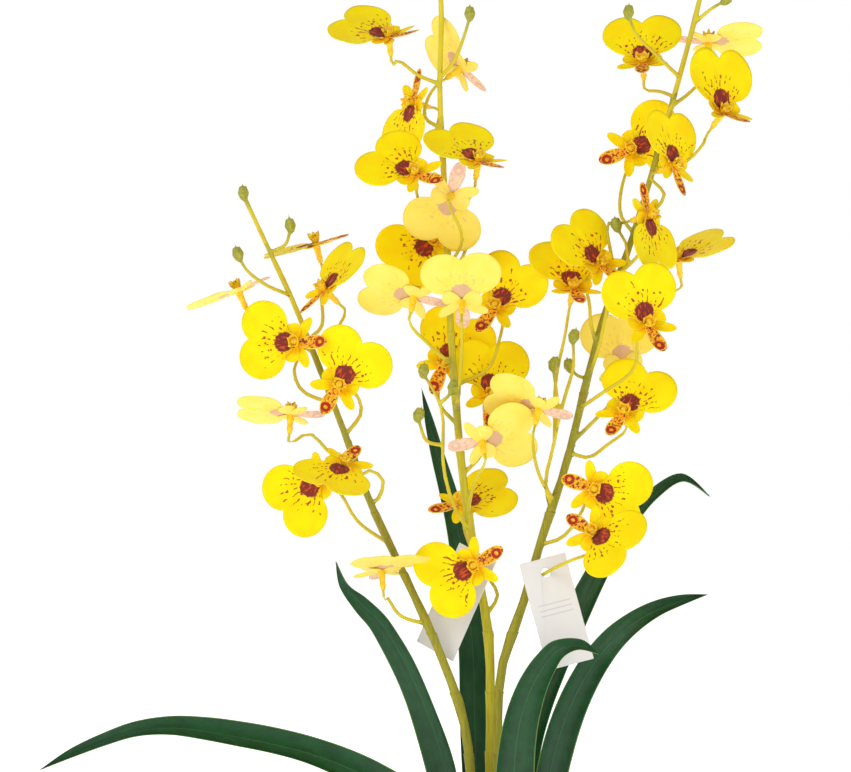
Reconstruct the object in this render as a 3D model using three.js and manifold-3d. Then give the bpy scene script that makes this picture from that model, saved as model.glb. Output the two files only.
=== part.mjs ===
// A potted spray orchid: a plain tapered pot of growing medium, six strap leaves, three
// branching flower stems with their buds, thirty-nine two-lobed blooms, and two blank card tags.
// Millimetres, +Z up, origin at the centre of the pot's flat base. The plant's front is -Y.
import * as THREE from "three";
import { mergeVertices } from "three/addons/utils/BufferGeometryUtils.js";
import Module from "manifold-3d";

const wasm = await Module();
wasm.setup();

// ---------- driving dimensions ----------
const POT = {
  height: 120,
  rimRadius: 68,
  baseRadius: 50,
  wall: 4,
  floor: 6,
  rimHeight: 14,
  rimProud: 3.5,
  rimRound: 2,
  drainRadius: 5,
  drainRing: 27,
  drainSides: 12,
  drains: 4,
  sides: 32,
};
const SOIL = { drop: 12, crown: 5, shoulder: 0.7, top: 0.35, edge: 1, sides: 28 };
const CLEARANCE = 0.3; // between any two pieces that touch
const SPREAD = 1; // sideways and fore-and-aft scale of the plant's layout
const RISE = 1; // upward scale of the plant's layout above the soil
const STEM = {
  foot: 3.1,
  tip: 1.25,
  bury: 16,
  sides: 7,
  knots: 8,
  knotSwell: 1.14,
  knotReach: 0.008,
  stepsPerKnot: 4,
  tipAim: [-0.1, 0, 1],
};
const STALK = { thick: 1.35, thin: 1.0, straight: 6.75, bractAt: 0.15, sides: 5, steps: 10 };
const BUD = { radius: 3.6, length: 13, beak: 0.34, sides: 6 };
const BRACT = { radius: 0.9, length: 7, droop: -0.55, sides: 3 };
const LEAF = {
  thickness: 0.9,
  bury: 12,
  steps: 14,
  fold: 0.42,
  swellFrom: -0.45,
  swellTo: 0.3,
  tipPower: 2.6,
  tipRound: 0.7,
  leastWidth: 0.03,
};
const BLOOM = {
  lip: 32,
  lobeSpread: 0.56,
  ear: 11.5,
  sepal: 16,
  tongue: 19,
  throat: 3.6,
  thickness: 0.7,
  boss: 1.6,
  collar: 11,
  collarRadius: 2.2,
  flare: 2,
  nubRadius: 1.35,
  sideLift: 0.55,
};
const TAG = { width: 26, height: 60, thickness: 0.8, hole: 2.6, holeDrop: 8, sides: 16 };

const soilLevel = POT.height - SOIL.drop;

// ---------- layout: millimetres from the pot's axis, heights above the soil ----------
// Stem points run from the soil to the tip: [x, y, z].
const STAND_OFF = 10.9; // from the thick foot of the left stem out to the bloom hung in front of it
const STEMS = {
  left: [[-7, -5, 0], [-12, -8, 70], [-26, -9, 112], [-47, -8, 158], [-64, -5, 194], [-77, -3, 229],
    [-94, 0, 273], [-106, 2, 303], [-119, 3, 331], [-134, 4, 363]],
  middle: [[2, 6, 0], [2, 6, 80], [1, 6, 120], [-6, 5, 161], [-13, 3, 206], [-17, 1, 249], [-20, 0, 291],
    [-22, 0, 342], [-24, 1, 380], [-26, 2, 422], [-25, 3, 462], [-27, 4, 500], [-29, 5, 528]],
  right: [[9, -4, 0], [7, -2, 97], [20, 0, 139], [31, 1, 177], [43, 2, 213], [55, 2, 261], [66, 1, 302],
    [76, 0, 328], [88, 0, 366], [100, 1, 407], [110, 2, 443], [117, 3, 470], [124, 4, 502], [130, 5, 526]],
};
// Side branches: [stem or branch it leaves, height where it leaves, middle points..., the bud at its end].
const BRANCHES = {
  left_bud_high: ["left", 331, [[-111, 2, 336]], { bud: [-108, 1, 345], aim: [-0.15, 0, 1] }],
  left_bud_low: ["left", 308, [[-122, -9, 314], [-132, -11, 322]],
    { bud: [-136, -11, 329], aim: [-0.3, 0, 1] }],
  middle_twig: ["middle", 178, [[-18, -6, 192], [-24, -9, 214], [-25, -10, 246]],
    { bud: [-35, -11, 265], aim: [0.1, 0, 1] }],
  middle_bud_a: ["middle_twig", 226, [[-33, -9, 228]], { bud: [-38, -9, 241], aim: [0.35, 0, 1] }],
  middle_bud_b: ["middle_twig", 249, [[-22, -12, 252]], { bud: [-19, -13, 256], aim: [0.2, -0.1, 1] }],
  middle_bud_c: ["middle", 318, [[-15, -4, 326], [-11, -5, 336]],
    { bud: [-11, -5, 343], aim: [-0.35, 0, 1] }],
  middle_bud_d: ["middle", 300, [[-10, 8, 304], [-2, 9, 313]], { bud: [0, 9, 321], aim: [0.1, 0, 1] }],
  middle_bud_e: ["middle", 428, [[-18, -4, 437], [-12, -5, 452]], { bud: [-9.5, -5, 461], aim: [0, 0, 1] }],
  middle_bud_f: ["middle", 478, [[-34, -4, 484]], { bud: [-39, -8, 494], aim: [-0.25, 0, 1] }],
  middle_bud_g: ["middle", 500, [[-20, 2, 508]], { bud: [-17, 2, 516], aim: [0.2, 0, 1] }],
  right_bough: ["right", 258, [[62, -7, 282], [66, -8, 302], [72, -9, 317], [77, -9, 326], [76, -10, 336]],
    { bud: [71, -10, 345], aim: [-0.2, 0, 1] }],
  right_bud_a: ["right_bough", 322, [[82, -10, 329]], { bud: [86, -11, 336], aim: [0.15, 0, 1] }],
  right_twig: ["right", 190, [[32, -6, 206], [35, -8, 220], [38, -9, 234], [39, -9, 244]],
    { bud: [36, -9, 269], aim: [0.45, 0, 1] }],
  right_bud_b: ["right_twig", 238, [[43, -10, 254], [47, -10, 268]],
    { bud: [47, -10, 284], aim: [0.3, 0, 1] }],
  right_bud_c: ["right", 262, [[50, 6, 264]], { bud: [46, 8, 268], aim: [-0.3, 0, 1] }],
  right_bud_d: ["right", 427, [[93, -10, 439], [81, -14, 451]], { bud: [77, -14, 461], aim: [0.1, 0, 1] }],
  right_bud_e: ["right", 458, [[124, 0, 466]], { bud: [131, -1, 470], aim: [0.6, 0, 1] }],
  right_bud_f: ["right", 488, [[113, 2, 496]], { bud: [109, 2, 506], aim: [-0.2, 0, 1] }],
};
// Blooms: throat, the way the face looks, the way the lip points, the lip's lift out of the face's
// plane in degrees, and the stalk: what it leaves, at what height, and its middle points.
const BLOOMS = {
  left_1: { at: [-137, 0, 311], face: [-0.4, 0.05, 0.9], lip: [-1, 0, -0.1], lift: 4,
    stalk: ["left", 276, [[-110, 8, 286]]] },
  left_2: { at: [-95, 27, 338], face: [-0.25, -0.12, 0.95], lip: [-0.95, 0, -0.3], lift: 0,
    stalk: ["left", 284, [[-91, 14, 292], [-92, 26, 312]]] },
  left_3: { at: [-89, -12, 311], face: [-0.62, -0.4, 0.62], lip: [0.6, 0.1, 0.8], lift: 8,
    stalk: ["left", 256, [[-83, -8, 272], [-81, -11, 291]]] },
  left_4: { at: [-105, -14, 282], face: [-0.25, -0.93, 0.18], lip: [-1, 0, 0.05], lift: 10,
    stalk: ["left", 248, [[-102, 0, 256], [-106, -2, 268]]] },
  left_5: { at: [-81, -17, 259], face: [0.05, -1, 0.1], lip: [0.5, 0, 0.85], lift: 12,
    stalk: ["left", 232, [[-69, -3, 244], [-73, -5, 255]]] },
  left_6: { at: [-108, 3, 243], face: [0.05, 0.35, 0.93], lip: [-1, 0, 0.1], lift: 4,
    stalk: ["left", 212, [[-85, 3, 220], [-98, 3, 232]]] },
  left_7: { at: [-93, 14, 206], face: [-0.1, -1, 0.05], lip: [-0.75, 0, -0.6], lift: 8,
    stalk: ["left", 172, [[-72, 14, 184], [-82, 22, 200]]] },
  left_8: { at: [-78, -22, 216], face: [0.12, -0.55, 0.82], lip: [-0.4, -0.75, -0.5], lift: 4,
    stalk: ["left", 194, [[-60, -5, 196], [-57, -8, 206], [-64, -12, 212]]] },
  left_9: { at: [-58, -(STAND_OFF + STEM.foot), 158], face: [-0.1, 0.28, 0.95], lip: [0.3, -1, -0.1], lift: 0,
    stalk: ["left", 128, [[-48, -14, 133], [-55, -15, 143]]] },
  middle_1: { at: [-54, -6, 450], face: [-0.1, -0.5, 0.86], lip: [-0.85, 0.2, 0.5], lift: 16,
    stalk: ["middle", 424, [[-38, -2, 429], [-49, -2, 437]]] },
  middle_2: { at: [-14, 15, 434], face: [0.7, 0.45, 0.5], lip: [-0.4, 0.4, 0.85], lift: 6,
    stalk: ["middle", 400, [[-34, 4, 406], [-32, 9, 418]]] },
  middle_3: { at: [-41, 10, 415], face: [-0.8, -0.5, 0.2], lip: [-0.25, 0, -1], lift: 4,
    stalk: ["middle", 386, [[-28, 12, 398]]] },
  middle_4: { at: [-40, -22, 374], face: [-0.1, -0.72, 0.68], lip: [-0.8, 0.2, 0.6], lift: 10,
    stalk: ["middle", 343, [[-34, -10, 352]]] },
  middle_5: { at: [-5, -20, 381], face: [0.12, -0.5, 0.86], lip: [-0.5, 0.3, 0.8], lift: 14,
    stalk: ["middle", 357, [[-14, 1, 358]]] },
  middle_6: { at: [-20, -19, 362], face: [0.1, 0.95, 0.25], lip: [-0.3, 0.2, -0.93], lift: 8,
    stalk: ["middle", 326, [[-17, -14, 330], [-14, -30, 340]]] },
  middle_7: { at: [-30, 18, 339], face: [0.1, -0.97, 0.12], lip: [-0.75, 0, -0.65], lift: 8,
    stalk: ["middle", 306, [[-28, 14, 316], [-30, 26, 330]]] },
  middle_8: { at: [-40, -20, 307], face: [0.15, 0.6, 0.75], lip: [-0.9, 0.1, 0.4], lift: 0,
    stalk: ["middle", 268, [[-31, -12, 280]]] },
  middle_9: { at: [-14, -30, 304], face: [0.02, 0.8, 0.6], lip: [-0.05, -0.2, 1], lift: 6,
    stalk: ["middle", 244, [[-15, -22, 262], [-14, -34, 282]]] },
  middle_10: { at: [5, -4, 302], face: [-0.22, -0.86, 0.42], lip: [0.5, 0.1, 0.85], lift: 10,
    stalk: ["middle", 258, [[1, 4, 268], [7, 5, 284]]] },
  middle_11: { at: [-23, 17, 271], face: [-0.1, -0.98, 0.12], lip: [0.4, 0, 0.92], lift: 8,
    stalk: ["middle", 236, [[-26, 12, 248], [-26, 24, 258]]] },
  middle_12: { at: [2, 6, 254], face: [0.2, -0.95, 0.25], lip: [0.05, 0, 1], lift: 6,
    stalk: ["middle", 210, [[-2, 6, 222], [-1, 14, 240]]] },
  middle_13: { at: [-3, -20, 228], face: [-0.1, 0.8, 0.58], lip: [1, -0.1, 0.1], lift: 6,
    stalk: ["middle", 188, [[-9, -12, 198], [-6, -22, 208]]] },
  middle_14: { at: [-14, 17, 193], face: [-0.1, -0.6, 0.8], lip: [0.88, 0, 0.45], lift: 8,
    stalk: ["middle", 166, [[-10, 18, 172]]] },
  middle_15: { at: [-8, -15, 160], face: [0, -1, 0.05], lip: [-0.85, 0, -0.45], lift: 10,
    stalk: ["middle", 132, [[6, 8, 143], [-2, 9, 155]]] },
  right_1: { at: [86, 8, 437], face: [-0.1, -0.62, 0.8], lip: [0, 0.3, 0.95], lift: 20,
    stalk: ["right", 417, [[96, 12, 421]]] },
  right_2: { at: [123, 17, 449], face: [0.05, 0.35, 0.93], lip: [0.95, 0, 0.15], lift: 6,
    stalk: ["right", 412, [[112, 6, 420]]] },
  right_3: { at: [129, -8, 408], face: [0.45, -0.6, 0.66], lip: [-0.2, 0.3, 0.93], lift: 34,
    stalk: ["right", 378, [[107, 0, 380], [118, -3, 390]]] },
  right_4: { at: [80, 12, 389], face: [-0.08, -0.97, 0.25], lip: [0.9, 0.1, 0.35], lift: 6,
    stalk: ["right", 341, [[74, 6, 352], [76, 22, 372]]] },
  right_5: { at: [102, -14, 379], face: [0.72, -0.62, 0.3], lip: [-0.05, 0.1, 1], lift: 8,
    stalk: ["right", 352, [[91, -8, 354], [97, -10, 363]]] },
  right_6: { at: [88, -18, 351], face: [0.8, -0.55, 0.2], lip: [0.02, 0, -1], lift: 2,
    stalk: ["right", 316, [[68, -8, 330], [66, -12, 347]]] },
  right_7: { at: [106, 12, 329], face: [-0.12, -0.3, 0.95], lip: [0.85, 0.1, 0.5], lift: 16,
    stalk: ["right", 304, [[86, 3, 305], [100, 10, 311]]] },
  right_8: { at: [47, -9, 312], face: [0.12, -0.62, 0.78], lip: [-0.1, 0.4, 0.9], lift: 18,
    stalk: ["right_twig", 229, [[38, 2, 262], [43, 2, 286]]] },
  right_9: { at: [61, -17, 325], face: [0.4, -0.74, 0.54], lip: [-0.75, 0.2, 0.65], lift: 14,
    stalk: ["right", 280, [[57, -5, 292], [56, -6, 304]]] },
  right_10: { at: [86, -38, 292], face: [0.25, -0.9, 0.32], lip: [-0.3, 0.1, 0.95], lift: 20,
    stalk: ["right", 247, [[62, -16, 254], [80, -22, 268]]] },
  right_11: { at: [76, 22, 270], face: [0, 0.97, 0.25], lip: [-0.1, -0.1, 0.99], lift: 6,
    stalk: ["right", 228, [[66, 5, 246], [75, 8, 256]]] },
  right_12: { at: [75, -12, 244], face: [-0.1, -0.82, 0.56], lip: [0.45, 0.15, 0.88], lift: 10,
    stalk: ["right", 222, [[56, -1, 219], [66, -5, 226]]] },
  right_13: { at: [58, -20, 202], face: [0.05, -1, 0.06], lip: [0.9, 0, -0.35], lift: 8,
    stalk: ["right", 172, [[41, -4, 175], [50, -7, 186]]] },
  right_14: { at: [57, -34, 179], face: [-0.35, -0.8, 0.5], lip: [0.8, -0.1, -0.6], lift: 8,
    stalk: ["right", 150, [[32, -12, 156], [44, -28, 163]]] },
  right_15: { at: [28, -23, 246], face: [0.2, 0.6, 0.77], lip: [-0.95, 0, 0.3], lift: 2,
    stalk: ["right", 196, [[29, -12, 208], [25, -28, 222]]] },
};
// Leaves: points along the midrib from the soil, half width, and the way its face looks at foot and tip.
const LEAVES = {
  leaf_left_low: { rib: [[-20, -14, 0], [-40, -22, 28], [-80, -26, 52], [-130, -28, 66], [-180, -30, 72],
    [-216, -31, 62], [-243, -32, 50]],
    half: 9.5, foot: [-0.7, -0.5, 0.6], end: [-0.3, -0.75, 0.7] },
  leaf_left_tall: { rib: [[-19, 6, 0], [-22, 4, 44], [-38, 2, 92], [-58, 0, 128], [-76, -2, 146],
    [-83, -4, 162]],
    half: 10, foot: [-0.5, -0.8, 0], end: [-0.7, -0.5, 0.5] },
  leaf_back: { rib: [[-4, 26, 0], [-6, 30, 60], [-8, 36, 120], [-16, 40, 180], [-28, 41, 225],
    [-36, 40, 257]],
    half: 8, foot: [0, -1, 0], end: [-0.3, -1, 0.1] },
  leaf_right_far: { rib: [[16, 22, 0], [24, 27, 60], [44, 33, 112], [66, 38, 156], [92, 42, 194],
    [112, 44, 206], [126, 44, 196]],
    half: 9.5, foot: [-0.3, -0.9, 0], end: [-0.5, -0.6, 0.6] },
  leaf_right_near: { rib: [[17, -18, 0], [14, -26, 40], [18, -32, 78], [30, -36, 106], [44, -38, 118],
    [60, -37, 113]],
    half: 11, foot: [0, -1, 0.1], end: [0.3, -0.7, 0.65] },
  leaf_right_low: { rib: [[28, 4, 0], [33, -2, 40], [46, -6, 84], [68, -8, 118], [94, -9, 136],
    [121, -9, 144]],
    half: 9.5, foot: [0.4, -0.85, 0], end: [0.2, -0.75, 0.6] },
};
const TAGS = {
  tag_left: { at: [-8, -2.2, 159.5], face: [-0.51, -0.85, 0.12], up: [0.454, 0, 0.89] },
  tag_right: { at: [32, -11.6, 156], face: [0.05, -1, 0.15], up: [-0.25, 0, 0.97] },
};

// ---------- materials ----------
const finish = (color, roughness) => new THREE.MeshStandardMaterial({ color, roughness, metalness: 0 });
const FINISHES = {
  pot: () => finish(0xd9d5cc, 0.55),
  soil: () => finish(0x3b2a1c, 0.95),
  stem: () => finish(0xb9a61a, 0.45),
  leaf: () => finish(0x1d4f2c, 0.35),
  bloom: () => finish(0xffe000, 0.5),
  tag: () => finish(0xefedea, 0.7),
};

// ---------- helpers ----------
const vector = ([x, y, z]) => new THREE.Vector3(x, y, z);
const placed = ([x, y, z]) => new THREE.Vector3(x * SPREAD, y * SPREAD, soilLevel + z * RISE);

// Drops what is not position and joins shared corners, so that a mesh is one closed surface.
function welded(geometry) {
  const bare = geometry.clone();
  bare.deleteAttribute("normal");
  bare.deleteAttribute("uv");
  return mergeVertices(bare, 1e-4);
}

function solid(geometry) {
  const whole = welded(geometry);
  const mesh = new wasm.Mesh({
    numProp: 3,
    vertProperties: new Float32Array(whole.attributes.position.array),
    triVerts: new Uint32Array(whole.index.array),
  });
  return new wasm.Manifold(mesh);
}

function geometryOf(made) {
  const mesh = made.getMesh();
  const geometry = new THREE.BufferGeometry();
  geometry.setAttribute("position", new THREE.BufferAttribute(mesh.vertProperties, 3));
  geometry.setIndex(new THREE.BufferAttribute(mesh.triVerts, 1));
  return geometry;
}

// Moves each corner of a geometry by a rule that is given its place.
function reshape(geometry, rule) {
  const places = geometry.getAttribute("position");
  for (let i = 0; i < places.count; i += 1) {
    const point = rule(new THREE.Vector3().fromBufferAttribute(places, i));
    places.setXYZ(i, point.x, point.y, point.z);
  }
  return geometry;
}

// A frame along a path: the side and face directions stay square to the path, near a wanted face.
function frameAt(path, t, face) {
  const along = path.getTangentAt(t).normalize();
  const side = new THREE.Vector3().crossVectors(along, face).normalize();
  return { point: path.getPointAt(t), along, side, face: new THREE.Vector3().crossVectors(side, along) };
}

// A closed round tube that follows a path: a cylinder bent along it, with its radius by a rule.
function tube(path, radiusAt, sides, steps) {
  const straight = new THREE.CylinderGeometry(1, 1, 1, sides, steps);
  const runsBack = Math.abs(path.getTangentAt(0.5).y) > 0.8;
  const reference = vector(runsBack ? [1, 0, 0] : [0, -1, 0]);
  return reshape(straight, (p) => {
    const t = THREE.MathUtils.clamp(p.y + 0.5, 0, 1);
    const frame = frameAt(path, t, reference);
    const radius = radiusAt(t);
    const point = frame.point.clone().addScaledVector(frame.side, p.x * radius);
    return point.addScaledVector(frame.face, p.z * radius);
  });
}

// Where a path passes a height.
function whereAt(path, height) {
  let best = 0;
  const samples = 200;
  for (let i = 0; i <= samples; i += 1) {
    const gap = Math.abs(path.getPointAt(i / samples).z - height);
    if (gap < Math.abs(path.getPointAt(best).z - height)) best = i / samples;
  }
  return path.getPointAt(best);
}

// ---------- pot and soil ----------
function potRadiusAt(z) {
  return POT.baseRadius + (POT.rimRadius - POT.baseRadius) * (z / POT.height);
}

function pot() {
  const rimFoot = POT.height - POT.rimHeight;
  const lip = POT.rimRadius + POT.rimProud;
  const profile = [
    [0, 0],
    [POT.baseRadius, 0],
    [potRadiusAt(rimFoot), rimFoot],
    [lip - POT.rimRound / 2, rimFoot + POT.rimRound / 2],
    [lip, rimFoot + POT.rimRound],
    [lip, POT.height - POT.rimRound],
    [lip - POT.rimRound, POT.height],
    [POT.rimRadius - POT.wall, POT.height],
    [potRadiusAt(POT.floor) - POT.wall, POT.floor],
    [0, POT.floor],
  ].map(([r, z]) => new THREE.Vector2(r, z));
  let body = solid(new THREE.LatheGeometry(profile, POT.sides).rotateX(Math.PI / 2));
  for (let i = 0; i < POT.drains; i += 1) {
    const turn = (Math.PI * (2 * i + 1)) / POT.drains;
    const drill = new THREE.CylinderGeometry(POT.drainRadius, POT.drainRadius, POT.floor * 3, POT.drainSides);
    drill.rotateX(Math.PI / 2);
    drill.translate(POT.drainRing * Math.cos(turn), POT.drainRing * Math.sin(turn), POT.floor / 2);
    body = body.subtract(solid(drill));
  }
  return geometryOf(body);
}

function soil(sockets) {
  const inner = (z) => potRadiusAt(z) - POT.wall - CLEARANCE;
  const foot = POT.floor + CLEARANCE;
  const profile = [
    [0, foot],
    [inner(foot) - CLEARANCE, foot],
    [inner(soilLevel - SOIL.edge), soilLevel - SOIL.edge],
    [inner(soilLevel) * SOIL.shoulder, soilLevel + SOIL.crown / 2],
    [inner(soilLevel) * SOIL.top, soilLevel + SOIL.crown],
    [0, soilLevel + SOIL.crown],
  ].map(([r, z]) => new THREE.Vector2(r, z));
  const heap = solid(new THREE.LatheGeometry(profile, SOIL.sides).rotateX(Math.PI / 2));
  return geometryOf(sockets.reduce((left, socket) => left.subtract(solid(socket)), heap));
}

// ---------- stems ----------
function stemPath(points) {
  const [first, second] = points.map(placed);
  const foot = first.clone().sub(second.clone().sub(first).setLength(STEM.bury));
  return new THREE.CatmullRomCurve3([foot, ...points.map(placed)]);
}

// A stem thins upwards and swells a little at evenly spaced knots.
function stemRadiusAt(t) {
  const taper = THREE.MathUtils.lerp(STEM.foot, STEM.tip, t);
  const toKnot = Math.abs(t * STEM.knots - Math.round(t * STEM.knots)) / STEM.knots;
  return toKnot < STEM.knotReach ? taper * STEM.knotSwell : taper;
}

function bud({ bud: at, aim }) {
  const r = BUD.radius;
  const profile = [
    [0, -r * 0.9],
    [r * 0.55, -r * 0.6],
    [r, r * 0.35],
    [r * 0.62, r * 1.5],
    [r * BUD.beak * 0.5, BUD.length - r * 2.2],
    [0, BUD.length - r],
  ].map(([x, y]) => new THREE.Vector2(x, y));
  const shape = new THREE.LatheGeometry(profile, BUD.sides);
  const turn = new THREE.Quaternion().setFromUnitVectors(new THREE.Vector3(0, 1, 0), vector(aim).normalize());
  return shape.applyQuaternion(turn).translate(...placed(at));
}

// A thin pointed scale beside the foot of a stalk, hanging outwards.
function bract(point, outwards) {
  const shape = new THREE.ConeGeometry(BRACT.radius, BRACT.length, BRACT.sides);
  shape.translate(0, BRACT.length / 2 - BRACT.radius, 0);
  const aim = vector([outwards.x, outwards.y, BRACT.droop]).normalize();
  const turn = new THREE.Quaternion().setFromUnitVectors(new THREE.Vector3(0, 1, 0), aim);
  return shape.applyQuaternion(turn).translate(point.x, point.y, point.z);
}

const stalkRadiusAt = (t) => THREE.MathUtils.lerp(STALK.thick, STALK.thin, t);

// A stalk leaves its parent's middle, so that the two are one growth.
function stalkPath(paths, [parent, height, middles], ...ends) {
  const start = whereAt(paths[parent], soilLevel + height * RISE);
  return new THREE.CatmullRomCurve3([start, ...middles.map(placed), ...ends]);
}

// One whole flower stem: its rod, side branches with buds, bloom stalks and bracts.
function flowerStem(name) {
  const paths = { [name]: stemPath(STEMS[name]) };
  const pieces = [tube(paths[name], stemRadiusAt, STEM.sides, STEM.knots * STEM.stepsPerKnot)];
  const tip = STEMS[name].at(-1);
  pieces.push(bud({ bud: tip, aim: STEM.tipAim }));
  for (const [branch, [parent, height, middles, end]] of Object.entries(BRANCHES)) {
    if (!branch.startsWith(name)) continue;
    paths[branch] = stalkPath(paths, [parent, height, middles], placed(end.bud));
    pieces.push(tube(paths[branch], stalkRadiusAt, STALK.sides, STALK.steps), bud(end));
  }
  for (const [bloomName, bloom] of Object.entries(BLOOMS)) {
    if (!bloomName.startsWith(name)) continue;
    const { nub, face } = bloomFrame(bloom);
    const end = nub.clone().addScaledVector(face, -CLEARANCE);
    const approach = end.clone().addScaledVector(face, -STALK.straight);
    const path = stalkPath(paths, bloom.stalk, approach, end);
    pieces.push(tube(path, stalkRadiusAt, STALK.sides, STALK.steps));
    const start = path.getPointAt(0);
    pieces.push(bract(start, path.getPointAt(STALK.bractAt).sub(start).normalize()));
  }
  const joined = pieces.map(solid).reduce((whole, piece) => whole.add(piece));
  return geometryOf(joined);
}

// ---------- blooms ----------
// Directions of a bloom: its face, its lip, and the side square to both, and where its collar ends.
function bloomFrame(bloom) {
  const face = vector(bloom.face).normalize();
  const wanted = vector(bloom.lip);
  const lip = wanted.addScaledVector(face, -wanted.dot(face)).normalize();
  const side = new THREE.Vector3().crossVectors(face, lip);
  const at = placed(bloom.at);
  return { at, face, lip, side, nub: at.clone().addScaledVector(face, -BLOOM.collar) };
}

// The outline as [angle from the lip, reach], on one side of the lip; the other side mirrors it.
const OUTLINE = [
  [0, BLOOM.lip * 0.86],
  [BLOOM.lobeSpread * 0.45, BLOOM.lip],
  [BLOOM.lobeSpread, BLOOM.lip],
  [BLOOM.lobeSpread * 1.5, BLOOM.lip * 0.78],
  [BLOOM.lobeSpread * 1.85, BLOOM.throat * 1.7],
  [1.32, BLOOM.ear],
  [1.75, BLOOM.ear * 0.92],
  [1.98, BLOOM.throat * 1.3],
  [2.25, BLOOM.sepal],
  [2.66, BLOOM.throat * 1.5],
  [2.92, BLOOM.tongue * 0.93],
  [Math.PI, BLOOM.tongue],
];
const MIRRORED = OUTLINE.slice(1, -1).reverse().map(([turn, reach]) => [2 * Math.PI - turn, reach]);
const POINTS = [...OUTLINE, ...MIRRORED];

// Rings from the collar's end to the boss at the throat; a petal ring follows the outline.
const RINGS = [
  { reach: 0, depth: -BLOOM.collar },
  { reach: BLOOM.nubRadius, depth: -BLOOM.collar },
  { reach: BLOOM.collarRadius, depth: -BLOOM.flare },
  { petal: true, depth: -BLOOM.thickness },
  { petal: true, depth: 0 },
  { reach: 0, depth: BLOOM.boss },
];

// A lathe with one segment for each outline point, drawn out ring by ring into petals.
function bloom(spec) {
  const profile = RINGS.map((ring, level) => new THREE.Vector2(ring.reach === 0 ? 0 : 1, level));
  const shape = new THREE.LatheGeometry(profile, POINTS.length);
  const { at, face, lip, side } = bloomFrame(spec);
  const lift = THREE.MathUtils.degToRad(spec.lift);
  return reshape(shape, (p) => {
    const ring = RINGS[Math.round(p.y)];
    const turn = Math.atan2(p.x, p.z);
    const index = (Math.round((turn / (2 * Math.PI)) * POINTS.length) + POINTS.length) % POINTS.length;
    const [angle, edge] = POINTS[index];
    const reach = ring.petal ? edge : ring.reach;
    const slope = lift * THREE.MathUtils.lerp(BLOOM.sideLift, 1, Math.cos(angle) ** 2);
    const raise = ring.petal ? reach * Math.tan(slope) : 0;
    const out = at.clone().addScaledVector(lip, reach * Math.cos(angle));
    return out.addScaledVector(side, reach * Math.sin(angle)).addScaledVector(face, ring.depth + raise);
  });
}

// ---------- leaves ----------
function leafPath(rib) {
  const [first, second] = rib.map(placed);
  const foot = first.clone().sub(second.clone().sub(first).setLength(LEAF.bury));
  return new THREE.CatmullRomCurve3([foot, ...rib.map(placed)]);
}

// A strap that is narrow at its foot, full along its middle and pointed at its end.
function leafWidthAt(t) {
  const foot = THREE.MathUtils.smoothstep(t, LEAF.swellFrom, LEAF.swellTo);
  return foot * Math.pow(1 - Math.pow(t, LEAF.tipPower), LEAF.tipRound) + LEAF.leastWidth;
}

// A box with two cells across its width, bent along the midrib and folded into a shallow channel.
function leaf({ rib, half, foot, end }, grow = 0) {
  const path = leafPath(rib);
  const strap = new THREE.BoxGeometry(2, 1, 1, 2, LEAF.steps, 1);
  const from = vector(foot);
  const to = vector(end);
  return reshape(strap, (p) => {
    const t = THREE.MathUtils.clamp(p.y + 0.5, 0, 1);
    const frame = frameAt(path, t, from.clone().lerp(to, t));
    const across = p.x * (half * leafWidthAt(t) + grow);
    const rise = Math.abs(p.x) * half * leafWidthAt(t) * LEAF.fold;
    const through = p.z * (LEAF.thickness + 2 * grow);
    const point = frame.point.clone().addScaledVector(frame.side, across);
    return point.addScaledVector(frame.face, rise + through);
  });
}

// ---------- tags ----------
// A blank card with a round hole near its top edge, hung by it.
function tag({ at, face, up }) {
  const card = new THREE.Shape();
  const [w, h] = [TAG.width / 2, TAG.height];
  card.moveTo(-w, TAG.holeDrop - h).lineTo(w, TAG.holeDrop - h);
  card.lineTo(w, TAG.holeDrop).lineTo(-w, TAG.holeDrop);
  card.holes.push(new THREE.Path().absarc(0, 0, TAG.hole, 0, 2 * Math.PI, true));
  const extrusion = { depth: TAG.thickness, bevelEnabled: false, curveSegments: TAG.sides / 2 };
  const plate = new THREE.ExtrudeGeometry(card, extrusion);
  const front = vector(face).normalize();
  const across = new THREE.Vector3().crossVectors(vector(up), front).normalize();
  const upright = new THREE.Vector3().crossVectors(front, across);
  const turn = new THREE.Matrix4().makeBasis(across, upright, front).setPosition(placed(at));
  return plate.applyMatrix4(turn);
}

// ---------- assembly ----------
const plant = new THREE.Group();

function add(name, geometry, material) {
  const mesh = new THREE.Mesh(geometry, material);
  mesh.name = name;
  plant.add(mesh);
}

const socketRadius = () => STEM.foot * STEM.knotSwell + CLEARANCE;
const stemSteps = STEM.knots * STEM.stepsPerKnot;
const sockets = [
  ...Object.values(STEMS).map((points) => tube(stemPath(points), socketRadius, STEM.sides, stemSteps)),
  ...Object.values(LEAVES).map((spec) => leaf(spec, CLEARANCE)),
];
add("pot", pot(), FINISHES.pot());
add("soil", soil(sockets), FINISHES.soil());
for (const name of Object.keys(STEMS)) add(`stem_${name}`, flowerStem(name), FINISHES.stem());
for (const [name, spec] of Object.entries(LEAVES)) add(name, leaf(spec), FINISHES.leaf());
for (const [name, spec] of Object.entries(BLOOMS)) add(`bloom_${name}`, bloom(spec), FINISHES.bloom());
for (const [name, spec] of Object.entries(TAGS)) add(name, tag(spec), FINISHES.tag());

export default plant;
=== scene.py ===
"""A potted spray orchid: pot, growing medium, strap leaves, flower stems, blooms and plain hang tags.

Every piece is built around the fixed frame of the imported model, in metres, +Z up, and rides on its
root body. The plant's front is towards -Y.
"""

import logging
import math
import random
from collections.abc import Callable
from dataclasses import dataclass, field
from enum import Enum

import bmesh
import bpy
from mathutils import Matrix, Vector
from mathutils.bvhtree import BVHTree


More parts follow.
